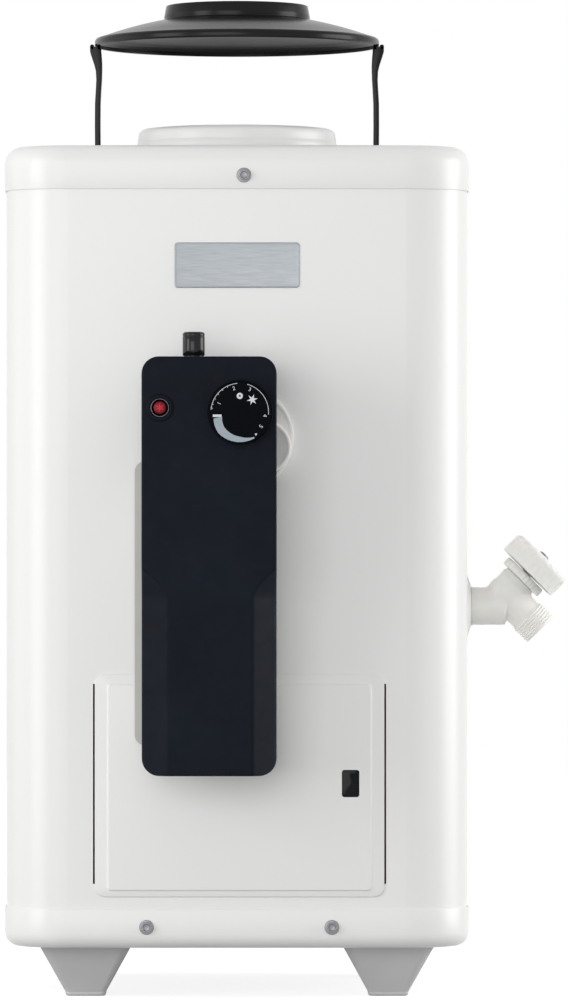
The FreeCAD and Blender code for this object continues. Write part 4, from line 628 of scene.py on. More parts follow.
def finish(name):
    """One of the finishes, made once."""
    if name not in _finishes:
        tints = group("finish")
        maker, *settings = {
            "white_enamel": (enamel, tints.enamel),
            "foot_grey": (moulded, tints.foot, 0.55, 0.5, 0.05),
            "hood_black": (satin_black, tints.hood),
            "zinc_steel": (plain_metal, tints.zinc, 0.42, 1.0),
            "nameplate_metal": (brushed, tints.nameplate),
            "tank_steel": (cast, linear(92, 96, 104), 0.55, 0.6, 2.5, 0.06),
            "flue_steel": (plain_metal, linear(186, 184, 178), 0.42, 2.5, (1, 1, 8)),
            "foam": (foam, linear(226, 214, 160)),
            "anode_metal": (cast, linear(190, 190, 186), 0.5, 1.0, 0.9, 0.05),
            "burner_iron": (cast, linear(70, 68, 66), 0.7, 0.7),
            "brass": (plain_metal, linear(206, 170, 96), 0.28, 0.8),
            "copper": (plain_metal, linear(204, 132, 96), 0.32, 0.8),
            "pipe_aluminium": (plain_metal, linear(206, 207, 210), 0.34, 0.9),
            "electrode_ceramic": (gloss, linear(236, 232, 224), 0.2, 0.03),
            "galvanised_pipe": (galvanised, linear(190, 193, 196)),
            "black_plastic": (moulded, tints.cover, 0.5, 0.3, 0.012, 0.07, 0.2),
            "dial_black": (gloss, tints.dial, 0.24, 0.15, 0.02),
            "valve_cast": (cast, linear(176, 178, 182), 0.42, 1.0, 0.8, 0.05),
            "offwhite_plastic": (moulded, tints.offwhite, 0.45, 0.5, 0.02),
            "inlet_dark": (gloss, tints.inlet, 0.14, 0.1, 0.3),
            "igniter_red": (gloss, tints.red, 0.3, 0.1, 0.15),
            # Painted highlight: a brighter copy of the button's red, with more glint, for its raised ribs
            "igniter_ribs": (gloss, tints.ribs, 0.3, 0.1, 0.3),
            "window_glass": (gloss, tints.glass, 0.06, 0.1, 0.12),
            "drain_nylon": (nylon, tints.nylon),
            "rubber_seal": (moulded, linear(34, 34, 34), 0.8, 0.6, 0.05),
            "disc_white": (moulded, tints.disc, 0.45, 0.5, 0.02, 0.5, 0.02),
            "dial_marks": (moulded, tints.marks, 0.5, 0.2, 0.01, 0.5, 0.03),
            "dial_arc": (moulded, tints.arc, 0.5, 0.2, 0.01, 0.5, 0.05),
        }[name]
        _finishes[name] = maker(name, *settings)
    return _finishes[name]


# Pieces

def pan(sizes, edge, face, fold, way):
    """An open pan from (inset, height) pairs: the free edge, the wall, the fold and the flat face."""
    wall, hem, flat = sizes.wall, sizes.hem, sizes.half * 0.45
    inside = fold - wall
    inner = [(flat, face - way * wall)]
    inner += [(wall + inside - x, face - way * (wall + inside - y))
              for x, y in arc(0, 0, inside, 90, 0, 8)]
    inner += [(wall, edge + way * hem), (wall - hem, edge)]
    outer = [(hem, edge), (hem * 0.3, edge + way * hem * 0.3), (0, edge + way * hem)]
    outer += [(fold - x, face - way * (fold - y)) for x, y in arc(0, 0, fold, 0, 90, 8)]
    outer += [(flat, face)]
    return loft([ring_at(z, sizes.half - inset, sizes.half - inset, sizes.corner - inset, steps=16)
                 for inset, z in inner + outer], first=True, last=True)


class HEATER_OT_casing(Operator):
    """Presses the lid and the tray"""
    bl_idname = "heater.casing"
    bl_label = "Casing"

    def execute(self, context):
        size, hood = Sizes("casing"), Sizes("hood")
        room, tab_half = 0.3, 4.3
        wide, deep = hood.leg_thick / 2 + room, tab_half
        slots = [moved(bar(-wide, -deep, wide, deep, -3, 3, 0.4),
                       Matrix.Translation((side * hood.leg_spread, 0, size.lid_top))) for side in (-1, 1)]
        flue = moved(peg(size.flue_hole, -4, 4, 96), Matrix.Translation((0, 0, size.lid_top)))
        piece("lid", pan(size, size.lid_low, size.lid_top, size.lid_round, 1), "white_enamel",
              nodes=["top_cover"], cutters=[flue, *slots])
        holes = [moved(peg(radius, -4, 4, steps), Matrix.Translation((x * away, y * away, size.tray_low)))
                 for radius, away, steps in ((size.air_hole, size.air_spread, 64),
                                             (BOLT_HOLE, size.foot_spread, 32))
                 for x in (-1, 1) for y in (-1, 1)]
        piece("tray", pan(size, size.tray_top, size.tray_low, size.tray_round, -1), "white_enamel",
              nodes=["base_tray"], cutters=holes)
        return {"FINISHED"}


class HEATER_OT_feet(Operator):
    """Moulds the four tapered feet"""
    bl_idname = "heater.feet"
    bl_label = "Feet"

    def execute(self, context):
        size = Sizes("casing")
        top, low = size.foot_top, size.foot_low
        high = size.tray_low

        def ring(half, z, corner):
            return ring_at(z, half, half, corner, steps=8)
        outer = [ring(low - 1.6, 0, 3), ring(low - 0.5, 0.35, 3.4), ring(low, 1.1, 3.6),
                 ring(low + 0.25, 2.0, 3.8), ring(low + 0.1, 2.6, 3.8), ring(low + 0.45, 3.4, 4.0)]
        run = 10
        for i in range(1, run + 1):
            t = i / run
            outer.append(ring(low + 0.45 + (top - low - 0.45) * t, 3.4 + (high - 0.4 - 3.4) * t, 4 + 4 * t))
        outer.append(ring(top - 0.15, high, 7.9))
        inner = [ring(top - 2.5, high, 5.5), ring(low - 1.8, 4.7, 1.9)]
        body = loft(outer + inner, first=True, last=True)
        boss = lathe([(BOLT_HOLE, 4.2), (BOLT_HOLE, high), (6.4, high), (7, high - 0.6), (7, 4.2)], 48)
        for end, way in (("front", -1), ("rear", 1)):
            for hand, side in (("left", -1), ("right", 1)):
                name = "foot_%s_%s" % (end, hand)
                stand = Matrix.Translation((side * size.foot_spread, way * size.foot_spread, 0))
                piece(name + "_moulding", moved(joined(body, boss), stand), "foot_grey", nodes=[name])
        return {"FINISHED"}


def screw_head():
    """A hex washer head with a round recess, from its washer's underside up."""
    washer, hexagon, blunt_to = 5.2, 4.0, 3.7
    around = range(0, 360, 5)
    plate = lathe([(0, 0), (washer, 0), (washer, 0.5), (4.9, 0.85), (4.3, 1.0), (0, 1.0)], 48, closed=False)

    def ring(scale, z, blunt=0.0):
        points = []
        for a in around:
            turn = math.radians(a)
            flat = hexagon * math.cos(math.radians(30)) / math.cos(math.radians((a % 60) - 30))
            radius = flat * (1 - blunt) + min(flat, blunt_to) * blunt
            points.append((radius * scale * math.cos(turn), radius * scale * math.sin(turn), z))
        return points
    bowl = [[(r * math.cos(math.radians(a)), r * math.sin(math.radians(a)), z) for a in around]
            for r, z in ((2.75, 3.2), (2.5, 3.0), (2.2, 2.5), (1.0, 2.25))]
    head = loft([ring(1, 0.9), ring(1, 2.7), ring(0.98, 2.95, 0.5), ring(0.93, 3.2, 1)] + bowl,
                first=True, last=True)
    shank = lathe([(0, -8), (1.2, -8), (2, -6.8), (2, 0.5), (0, 0.5)], 24, closed=False)
    return joined(plate, head, shank)


class HEATER_OT_screws(Operator):
    """Drives the sheet metal screws of the lid and the tray, front and rear"""
    bl_idname = "heater.screws"
    bl_label = "Screws"

    def execute(self, context):
        half = Sizes("casing").half
        for name, node, places in (("lid_screws", "cover_screws", [(4.9, 581.1)]),
                                   ("tray_screw_heads", "tray_screws", [(-63.7, 51.1), (66.9, 51.1)])):
            heads = [moved(screw_head(), facing(way, x, y, z))
                     for x, z in places for way, y in (("front", -half), ("rear", half))]
            piece(name, joined(*heads), "zinc_steel", nodes=[node])
        return {"FINISHED"}


class HEATER_OT_flue(Operator):
    """Forms the white flue ring, the spun draft hood and its two legs"""
    bl_idname = "heater.flue"
    bl_label = "Flue ring and draft hood"

    def execute(self, context):
        size, hood = Sizes("casing"), Sizes("hood")
        base, top, shoulder, mouth = size.lid_top, size.ring_top, size.ring_shoulder, size.ring_inner
        fold, lip = 5, 2
        lean = (size.ring_base - shoulder) / (top - fold - base)

        def side(z):
            return size.ring_base - lean * (z - base)
        outer = [(side(base) - 0.1, base), (side(base), base + 0.25)]
        for level in (5.5, 10.5):
            z = base + level
            outer += [(side(z + up) - inward, z + up) for up, inward in
                      ((-0.9, 0), (-0.4, 0.22), (0, 0.3), (0.4, 0.22), (0.9, 0))]
        outer += arc(shoulder - fold, top - fold, fold, 0, 90, 8)
        outer += arc(mouth + lip, top - lip, lip, 90, 180, 6)
        inner = [(mouth, top - 9), (mouth + 1, top - 9)] + arc(mouth + lip, top - lip, lip - 1, 180, 90, 5)
        inner += arc(shoulder - fold, top - fold, fold - 1, 90, 0, 6) + [(size.ring_base - 1, base)]
        piece("flue_ring", lathe(outer + inner, 144), "white_enamel", nodes=["flue_collar"])

        rim, wall = hood.rim, hood.wall
        lip_z = hood.rim_z + hood.lip
        root, collar, crown = hood.root_z, hood.collar, hood.top
        flared = collar + hood.collar_flare
        skin = [(collar - 0.9, crown), (collar - 0.25, crown - 0.2), (collar, crown - 0.7)]
        skin += [(collar + (flared - collar) * t, crown - 0.7 - (crown - 0.7 - root - 1.5) * t)
                 for t in (0.33, 0.66, 1)]
        skin += [(flared - 0.35, root + 0.85), (flared - 0.2, root + 0.35), (flared + 0.5, root + 0.05)]
        start, end, bulge = (flared + 1.6, root - 0.25), (rim - 3.6, lip_z), 0.9
        for i in range(1, 16):
            t = i / 16
            skin.append((start[0] + (end[0] - start[0]) * t,
                         start[1] + (end[1] - start[1]) * t + bulge * math.sin(math.pi * t)))
        skin += arc(rim - 2.9, lip_z - 3.1, 2.9, 80, 0, 7)
        skin += [(rim, hood.rim_z + 1.4), (rim - 0.3, hood.rim_z + 0.5), (rim - 0.9, hood.rim_z)]
        under = [(rim - 1.5, hood.rim_z + 0.3), (rim - 1.6, hood.rim_z + 2), (rim - 1.5, lip_z - 3.6),
                 (rim - 3.6, lip_z - wall - 0.3)]
        for i in range(1, 12):
            t = i / 12
            under.append((end[0] + (start[0] - end[0]) * t, end[1] + (start[1] - end[1]) * t
                          + bulge * math.sin(math.pi * t) - wall))
        under += [(flared - 0.6, root - 0.9), (collar - wall - 0.4, root + 0.8),
                  (collar - wall - 0.2, root + 2.5), (collar - wall - 0.2, crown - 0.5)]
        piece("hood_spinning", lathe(skin + under, 160), "hood_black", body="hood",
              nodes=["draft_hood"], sharp=50)
        for hand, way in (("left", -1), ("right", 1)):
            name = "hood_leg_" + hand
            piece(name + "_strap", self.leg(hood, way, base), "hood_black", body="hood",
                  nodes=[name], sharp=50)
        return {"FINISHED"}

    def leg(self, hood, side, base):
        """A strap with soft edges: each ring is (height, middle, half thickness, half depth)."""
        rim = hood.rim - hood.wall / 2
        spread, half, deep = hood.leg_spread, hood.leg_thick / 2, hood.leg_width / 2
        up = [(base - 9, spread, half, 4), (base - 8.6, spread, half, 4), (base - 0.02, spread, half, 4),
              (base, spread, half, deep), (base + 1, spread, half, deep)]
        bend = [(0.3, 0.15, 1), (0.5, 0.05, 1), (0.62, -0.45, 0.97), (0.72, -0.9, 1), (0.8, -0.85, 1.12),
                (0.86, -0.3, 1.4), (0.92, 0.6, 1.72), (0.965, 1.3, 1.93), (0.985, 1.6, 1.97)]
        tall = hood.rim_z - 2.6 - base
        up += [(base + tall * t, spread + shift, half * thick, deep) for t, shift, thick in bend]
        notch = hood.rim_z - 0.1
        up.append((notch, rim, half * 1.98, deep))

        def ring(z, middle, thick, depth):
            return [(side * x, y, z)
                    for x, y in rounded(thick, depth, min(thick * 0.45, 0.9), middle, 0, 4)]
        prongs = []
        for middle in (rim + 2.45, rim - 2.45):
            tips = [(-2, 1.5, deep), (0.6, 1.5, deep), (1.2, 1.5 * 0.8, deep - 0.4),
                    (1.55, 1.5 * 0.4, deep - 1)]
            prongs.append(loft([ring(notch + z, middle, thick, depth) for z, thick, depth in tips],
                               first=True, last=True))
        return joined(loft([ring(*level) for level in up], first=True, last=True), *prongs)


class HEATER_OT_nameplate(Operator):
    """Sticks the bare brushed nameplate to the casing"""
    bl_idname = "heater.nameplate"
    bl_label = "Nameplate"

    def execute(self, context):
        size = Sizes("control")
        wide, tall, corner = size.plate_half, size.plate_tall, 2.4
        steps = ((0.15, 0), (0, 0.15), (0, 0.45), (0.15, 0.7), (0.45, 0.8), (0.9, 0.78), (1.15, 0.68),
                 (1.4, 0.66))
        form = loft([ring_at(z, wide - inset, tall - inset, corner - inset * 0.6, steps=8)
                     for inset, z in steps], first=True, last=True)
        piece("brushed_plate", moved(form, facing("front", 0, -SHEET, size.plate_z)), "nameplate_metal",
              nodes=["nameplate"], sharp=60)
        return {"FINISHED"}


class HEATER_OT_door(Operator):
    """Presses the burner door with its raised panel, flanges and hooks, and sets its window"""
    bl_idname = "heater.door"
    bl_label = "Burner door"

    def execute(self, context):
        size = Sizes("door")
        middle = (size.low + size.high) / 2
        tall = (size.high - size.low) / 2
        raised = (size.raised_low + size.raised_high) / 2
        raised_tall = (size.raised_high - size.raised_low) / 2

        def outer(inset, out):
            return ring_at(out, size.half - inset, tall - inset, size.corner - inset, 0, middle, 8)

        def panel(inset, out):
            corner = max(size.raised_corner - inset, 0.6)
            return ring_at(out, size.raised_half - inset, raised_tall - inset, corner, 0, raised, 8)

        def pane(inset, out):
            return ring_at(out, size.window_half - inset, size.window_tall - inset,
                           size.window_corner - inset * 0.5, steps=6)
        wall, rise = size.wall, size.rise
        front = wall + rise
        skin = [outer(0, 0), outer(0, wall - 0.45), outer(0.13, wall - 0.13), outer(0.45, wall),
                panel(-0.5, wall), panel(-0.15, wall + 0.1), panel(0.12, wall + 0.45),
                panel(0.4, front - 0.35), panel(0.75, front - 0.08), panel(1.3, front)]
        back = [panel(1.9, rise), panel(1.3, rise - 0.4), panel(0.9, 0.2), panel(0.4, 0)]
        cutter = loft([ring_at(z, size.window_half, size.window_tall, size.window_corner,
                               size.window_x - size.x, size.window_z, 6) for z in (-2, 5)],
                      first=True, last=True)
        flange_low, flange_high = 81.7 + 4, 222.6 - 4
        hook_low, hook_half = size.raised_high + 1.5, 7
        trim = [bar(side * size.half - (wall if side > 0 else 0), flange_low,
                    side * size.half + (0 if side > 0 else wall), flange_high, -8, 0.3, 0.2)
                for side in (-1, 1)]
        for x in (-60, 60):
            for tall_by, top in ((1, 0.3), (8, -1.3)):
                trim.append(bar(x - hook_half, hook_low, x + hook_half, hook_low + tall_by, -2.2, top, 0.2))
        stand = facing("front", size.x, -size.back, 0)
        piece("door_panel", moved(loft(back + skin, first=True, last=True), stand), "white_enamel",
              body="door", nodes=["access_door"], cutters=[moved(cutter, stand)], sharp=50)
        piece("door_flanges", moved(joined(*trim), stand), "white_enamel", body="door")
        glass = loft([pane(-1.2, rise - 1), pane(-1.2, rise - 0.1), pane(0.15, rise - 0.05),
                      pane(0.15, front - 0.55), pane(0.6, front - 0.35), pane(2.2, front - 0.2)],
                     first=True, last=True)
        piece("window_pane", moved(glass, facing("front", size.window_x, -size.back, size.window_z)),
              "window_glass", body="door", nodes=["sight_glass"], sharp=50)
        return {"FINISHED"}


class HEATER_OT_cover(Operator):
    """Moulds the control cover with its two bevels and soft edges"""
    bl_idname = "heater.cover"
    bl_label = "Control cover"

    def depth_at(self, size, x, z):
        """How far forward the cover's face is at a place on it."""
        across = min(x - size.left, size.right - x)
        upright = min(z - size.low, size.high - z)
        corner = size.corner
        if across < corner and upright < corner:
            inside = corner - math.hypot(corner - across, corner - upright)
        else:
            inside = min(across, upright)
        inside = max(inside, 0.0)
        edge = size.edge
        drop = edge - math.sqrt(max(edge ** 2 - (edge - min(inside, edge)) ** 2, 0.0))
        run = (z - size.bevel_high) / size.bevel_run
        left = 0.0 if run >= 1 else 1 - max(run, 0.0) ** 1.7
        for wide, from_edge in ((size.bevel_left, x - size.left), (size.bevel_right, size.right - x)):
            slope = size.bevel_depth / wide
            over = (wide * left - from_edge) * slope
            soft = 0.45
            drop += 0.5 * (over + math.sqrt(over ** 2 + soft ** 2))
        return size.depth - drop

    def execute(self, context):
        size = Sizes("control")
        near = [0, 0.12, 0.35, 0.7, 1.1, 1.6, 2.4, 3.2, 4.2]
        fine = near + [4.2 + 0.75 * i for i in range(1, 21)]
        wide = size.right - size.left
        rest = wide - 2 * fine[-1]
        columns = fine + [fine[-1] + rest * i / 10 for i in range(1, 10)]
        columns += [wide - c for c in reversed(fine)]
        tall = size.high - size.low
        corner = size.corner
        ends = sorted(near + [corner * (1 - math.cos(math.radians(a))) for a in range(10, 91, 10)])
        rows = list(ends)
        start = size.bevel_high - size.low - 3
        z = ends[-1]
        while z < start - 6:
            z += 6
            rows.append(z)
        z = start
        while z < start + size.bevel_run + 6:
            rows.append(z)
            z += 0.75
        while z < tall - corner - 4:
            rows.append(z)
            z += 5
        rows += [tall - e for e in reversed(ends)]
        rows = sorted(set(round(r, 4) for r in rows))

        def limits(row, radius, high):
            gap = min(row, high - row)
            return radius - math.sqrt(max(radius ** 2 - (radius - gap) ** 2, 0.0)) if gap < radius else 0.0

        def grid(inset):
            points = []
            radius = corner - inset
            for row in rows:
                z = size.low + inset + row * (tall - 2 * inset) / tall
                pulled = limits(z - size.low - inset, radius, tall - 2 * inset)
                left, right = size.left + inset + pulled, size.right - inset - pulled
                line = []
                for column in columns:
                    x = left + column * (right - left) / wide
                    line.append(Vector((x, -(size.back + self.depth_at(size, x, z) - inset), z)))
                points.append(line)
            return points
        outer, inner = grid(0), grid(size.wall)
        across, up = len(columns), len(rows)
        points, faces = [], []
        for block, flip in ((outer, False), (inner, True)):
            start = len(points)
            points += [p for line in block for p in line]
            for i in range(up - 1):
                for j in range(across - 1):
                    a = start + i * across + j
                    face = (a, a + 1, a + across + 1, a + across)
                    faces.append(face[::-1] if flip else face)
        ring = [(0, j) for j in range(across)] + [(i, across - 1) for i in range(1, up)]
        ring += [(up - 1, j) for j in range(across - 2, -1, -1)] + [(i, 0) for i in range(up - 2, 0, -1)]
        count = len(ring)
        outer_edge = [i * across + j for i, j in ring]
        inner_edge = [up * across + i * across + j for i, j in ring]
        rims = []
        for block in (outer, inner):
            rims.append([len(points) + n for n in range(count)])
            points += [Vector((block[i][j].x, -size.back, block[i][j].z)) for i, j in ring]
        for first, second in ((outer_edge, rims[0]), (rims[0], rims[1]), (rims[1], inner_edge)):
            for n in range(count):
                m = (n + 1) % count
                faces.append((first[n], first[m], second[m], second[n]))
        front = -(size.back + size.depth)
        at_dial = facing("front", size.dial_x, front, size.dial_z)
        spindle_hole, igniter_hole, inlet_hole = size.spindle + 0.4, 7.75, 7.5
        holes = [moved(peg(spindle_hole, -6, 4, 32), at_dial),
                 moved(peg(igniter_hole, -6, 4, 48),
                       facing("front", size.igniter_x, front, size.igniter_z)),
                 moved(peg(inlet_hole, -6, 4, 48),
                       Matrix.Translation((size.inlet_x, -size.inlet_y, size.high)))]
        piece("cover_moulding", (points, faces), "black_plastic", nodes=["control_cover"],
              cutters=holes, sharp=32)
        marks = [moved(lathe([(22.0, -0.3), (22.0, 0.25), (22.2, 0.5), (22.6, 0.6), (23.0, 0.45),
                              (23.2, 0.1), (23.2, -0.3)], 120), at_dial)]
        corners = [(-3.4, 24.6), (3.4, 24.6), (0, 30.0)]
        for (x, down), (next_x, next_down) in zip(corners, corners[1:] + corners[:1]):
            run = math.hypot(next_x - x, next_down - down)
            turn = math.atan2(-(next_down - down), next_x - x)
            marks.append(moved(bar(0, -0.28, run, 0.28, -0.2, 0.22, 0.12), at_dial
                               @ Matrix.Translation((x, -down, 0)) @ Matrix.Rotation(turn, 4, "Z")))
        piece("cover_relief", joined(*marks), "black_plastic")
        return {"FINISHED"}


class HEATER_OT_dial(Operator):
    """Turns the dial and prints its plain marks"""
    bl_idname = "heater.dial"
    bl_label = "Dial"

    def execute(self, context):
        size = Sizes("control")
        radius, deep = size.dial_radius, size.dial_front - size.dial_back
        face = deep - 0.12
        hole, hole_deep = 4.05, 10.5
        profile = [(0, hole_deep), (hole, hole_deep), (hole, 0), (radius - 0.6, 0), (radius, 0.6)]
        profile += arc(radius - 0.5, deep - 0.5, 0.5, 0, 90, 6)
        profile += [(radius - 0.55, deep - 0.02), (radius - 0.62, face), (0, face)]
        stand = facing("front", size.dial_x, -size.dial_back, size.dial_z)
        piece("dial_cap", moved(lathe(profile, 128, closed=False), stand), "dial_black", body="dial",
              nodes=["dial_knob"])
        proud = face + 0.06
        low = face - 0.1

        def patch(outline):
            return loft([[(x, y, z) for x, y in outline] for z in (low, proud)], first=True, last=True)

        def along(t, *stops):
            """The value at t on a line through (t, value) stops."""
            for (a, first), (b, last) in zip(stops, stops[1:]):
                if t <= b:
                    return first + (last - first) * (t - a) / (b - a)
            return stops[-1][1]

        def band(outer, inner, start, end, steps=48):
            """A band between two radius functions, from one angle to another, in degrees."""
            rows = []
            for i in range(steps + 1):
                t = i / steps
                turn = math.radians(start + (end - start) * t)
                rows.append([(r * math.cos(turn), r * math.sin(turn), z) for r, z in
                             ((outer(t), low), (outer(t), proud), (inner(t), proud), (inner(t), low))])
            return loft(rows, first=True, last=True)
        grey = band(lambda t: along(t, (0, 18.7), (0.29, 20.75), (1, 20.75)),
                    lambda t: along(t, (0, 12.6), (0.29, 14.95), (0.72, 17.0), (1, 19.8)), 194, 300)
        piece("dial_arc", moved(grey, stand), "dial_arc", body="dial")
        px = PIXEL
        marks = [bar(-27 * px, -4.9 * px, -18.2 * px, -2.4 * px, low, proud, 0.03),
                 moved(band(lambda t: 3.1 * px, lambda t: 1.0 * px, 0, 360),
                       Matrix.Translation((0, 16.2 * px, 0)))]
        star = []
        for i in range(12):
            reach = 5.6 * px if i % 2 == 0 else 2.1 * px
            turn = math.radians(30 * i + 12)
            star.append((12.5 * px + reach * math.cos(turn), 12.5 * px + reach * math.sin(turn)))
        marks.append(patch(star))
        marks.append(patch([(16.2 * px + 1.5 * px * math.cos(math.radians(a)),
                             -22.2 * px + 1.5 * px * math.sin(math.radians(a))) for a in (30, 150, 270)]))
        marks += [band(lambda t: 20.3, lambda t: 19.0, turn - 0.7, turn + 0.7, 2)
                  for turn in (116, 128, 140, 152, 164, 172)]
        marks += [band(lambda t: 20.1, lambda t: 19.75, start, end) for start, end in ((95, 175), (-5, 75))]
        piece("dial_marks", moved(joined(*marks), stand), "dial_marks", body="dial")
        for word, turn, away in (("1", 157, 22.3), ("2", 104, 24.4), ("3", 66, 24.6), ("4", -8, 25.4),
                                 ("5", -34, 25.4)):
            angle = math.radians(turn)
            spot = Matrix.Translation((away * px * math.cos(angle), away * px * math.sin(angle),
                                       proud - 0.08))
            self.figure(word, stand, spot, math.radians(turn - 90))
        return {"FINISHED"}

    def figure(self, word, stand, spot, lean):
        """Prints one figure on the dial, leaning with its place."""
        text = bpy.data.curves.new("figure_" + word, "FONT")
        text.body = word
        text.size = 5.4 * PIXEL * MM
        text.extrude = 0.08 * MM
        text.align_x = text.align_y = "CENTER"
        text.resolution_u = 4
        made = bpy.data.objects.new("figure_" + word, text)
        made.matrix_world = (Matrix.Scale(MM, 4) @ Matrix.Translation(AXIS) @ stand @ spot
                             @ Matrix.Scale(1 / MM, 4) @ Matrix.Rotation(lean, 4, "Z"))
        bpy.context.scene.collection.objects.link(made)
        bpy.context.view_layer.update()
        mesh = bpy.data.meshes.new_from_object(made.evaluated_get(bpy.context.evaluated_depsgraph_get()))
        mesh.transform(made.matrix_world)
        bpy.data.objects.remove(made)
        printed = bpy.data.objects.new("dial_figure_" + word, mesh)
        bpy.context.scene.collection.objects.link(printed)
        dressed(printed, "dial_marks", "dial")


class HEATER_OT_igniter(Operator):
    """Sets the igniter's ring and its red button"""
    bl_idname = "heater.igniter"
    bl_label = "Igniter"

    def execute(self, context):
        size = Sizes("control")
        stand = facing("front", size.igniter_x, -(size.back + size.depth), size.igniter_z)
        r = size.bezel
        profile = [(r - 0.05, 0), (r, 0.25), (r - 0.2, 0.8), (r - 0.8, 1.35), (r - 1.6, 1.6), (r - 2.4, 1.5),
                   (r - 2.9, 1.15), (r - 3.1, 1.0), (r - 3.3, 1.25), (r - 3.6, 1.3), (r - 3.9, 1.0),
                   (r - 4.2, 0.2), (4.75, -1.2), (4.65, -6), (7.6, -6), (7.6, 0)]
        piece("igniter_ring", moved(lathe(profile, 96), stand), "black_plastic",
              nodes=["igniter_bezel"], sharp=45)
        wire = [(r - 3.5 + 0.2 * math.cos(math.radians(a)), 1.28 + 0.2 * math.sin(math.radians(a)))
                for a in range(0, 360, 30)]
        piece("igniter_lip", moved(lathe(wire, 96), stand), "zinc_steel")
        radius = size.button
        cap = [(0, -7.8), (radius, -7.8), (radius, 2.9)]
        cap += arc(radius - 0.9, 2.9, 0.9, 10, 80, 5) + [(2, 3.95), (0, 4.0)]
        ribs = [moved(bar(-2.9, -0.42, 2.9, 0.42, 3.5, 4.18, 0.25),
                      Matrix.Rotation(math.radians(turn), 4, "Z")) for turn in (30, 90, 150)]
        piece("red_button", moved(lathe(cap, 64, closed=False), stand), "igniter_red", body="igniter",
              nodes=["igniter_button"])
        # The ribs take the brighter red, a painted highlight where they stand out of the dome
        piece("red_button_ribs", moved(joined(*ribs), stand), "igniter_ribs", body="igniter")
        return {"FINISHED"}


class HEATER_OT_inlet(Operator):
    """Turns the gas nipple and the white disc behind the cover"""
    bl_idname = "heater.inlet"
    bl_label = "Gas nipple and disc"

    def execute(self, context):
        size = Sizes("control")
        r, top, bore, high = size.inlet_radius, size.inlet_top, 4.5, size.high
        profile = [(bore, 440), (7, 440), (7, high + 0.8), (r - 0.2, high + 1), (r, high + 1.4),
                   (r, top - 3.4), (r - 0.18, top - 3.1), (r - 0.18, top - 2.8), (r, top - 2.5)]
        profile += arc(r - 1.9, top - 1.9, 1.9, 0, 90, 8)
        profile += [(bore + 0.9, top), (bore + 0.3, top - 0.3), (bore, top - 1)]
        piece("gas_nipple", moved(lathe(profile, 96), Matrix.Translation((size.inlet_x, -size.inlet_y, 0))),
              "inlet_dark", nodes=["gas_inlet_nipple"])
        r, b = size.disc_radius, size.boss_radius
        disc = lathe([(0, 0), (r, 0), (r, 2.2), (r - 0.3, 2.9), (r - 1, 3.2), (r - 2.2, 3.2), (r - 2.7, 2.9),
                      (r - 3.1, 2.3), (r - 4, 2.2), (0, 2.2)], 128, closed=False)
        boss = lathe([(0, 1), (b, 1), (b, 9.3)] + arc(b - 1.9, 9.3, 1.9, 0, 90, 8)
                     + [(b - 2.6, 11.15), (b - 3.1, 10.7), (b - 3.6, 10.4), (0, 10.4)], 96, closed=False)
        at_disc = facing("front", size.disc_x, -SHEET, size.disc_z)
        shank_hole = 11.15
        hole = moved(peg(shank_hole, -3, 16), at_disc)
        piece("white_disc", moved(disc, at_disc), "disc_white",
              nodes=["thermostat_escutcheon"], cutters=[hole], sharp=45)
        piece("disc_boss", moved(boss, facing("front", size.boss_x, -SHEET, size.boss_z)), "disc_white",
              cutters=[hole], sharp=45)
        return {"FINISHED"}


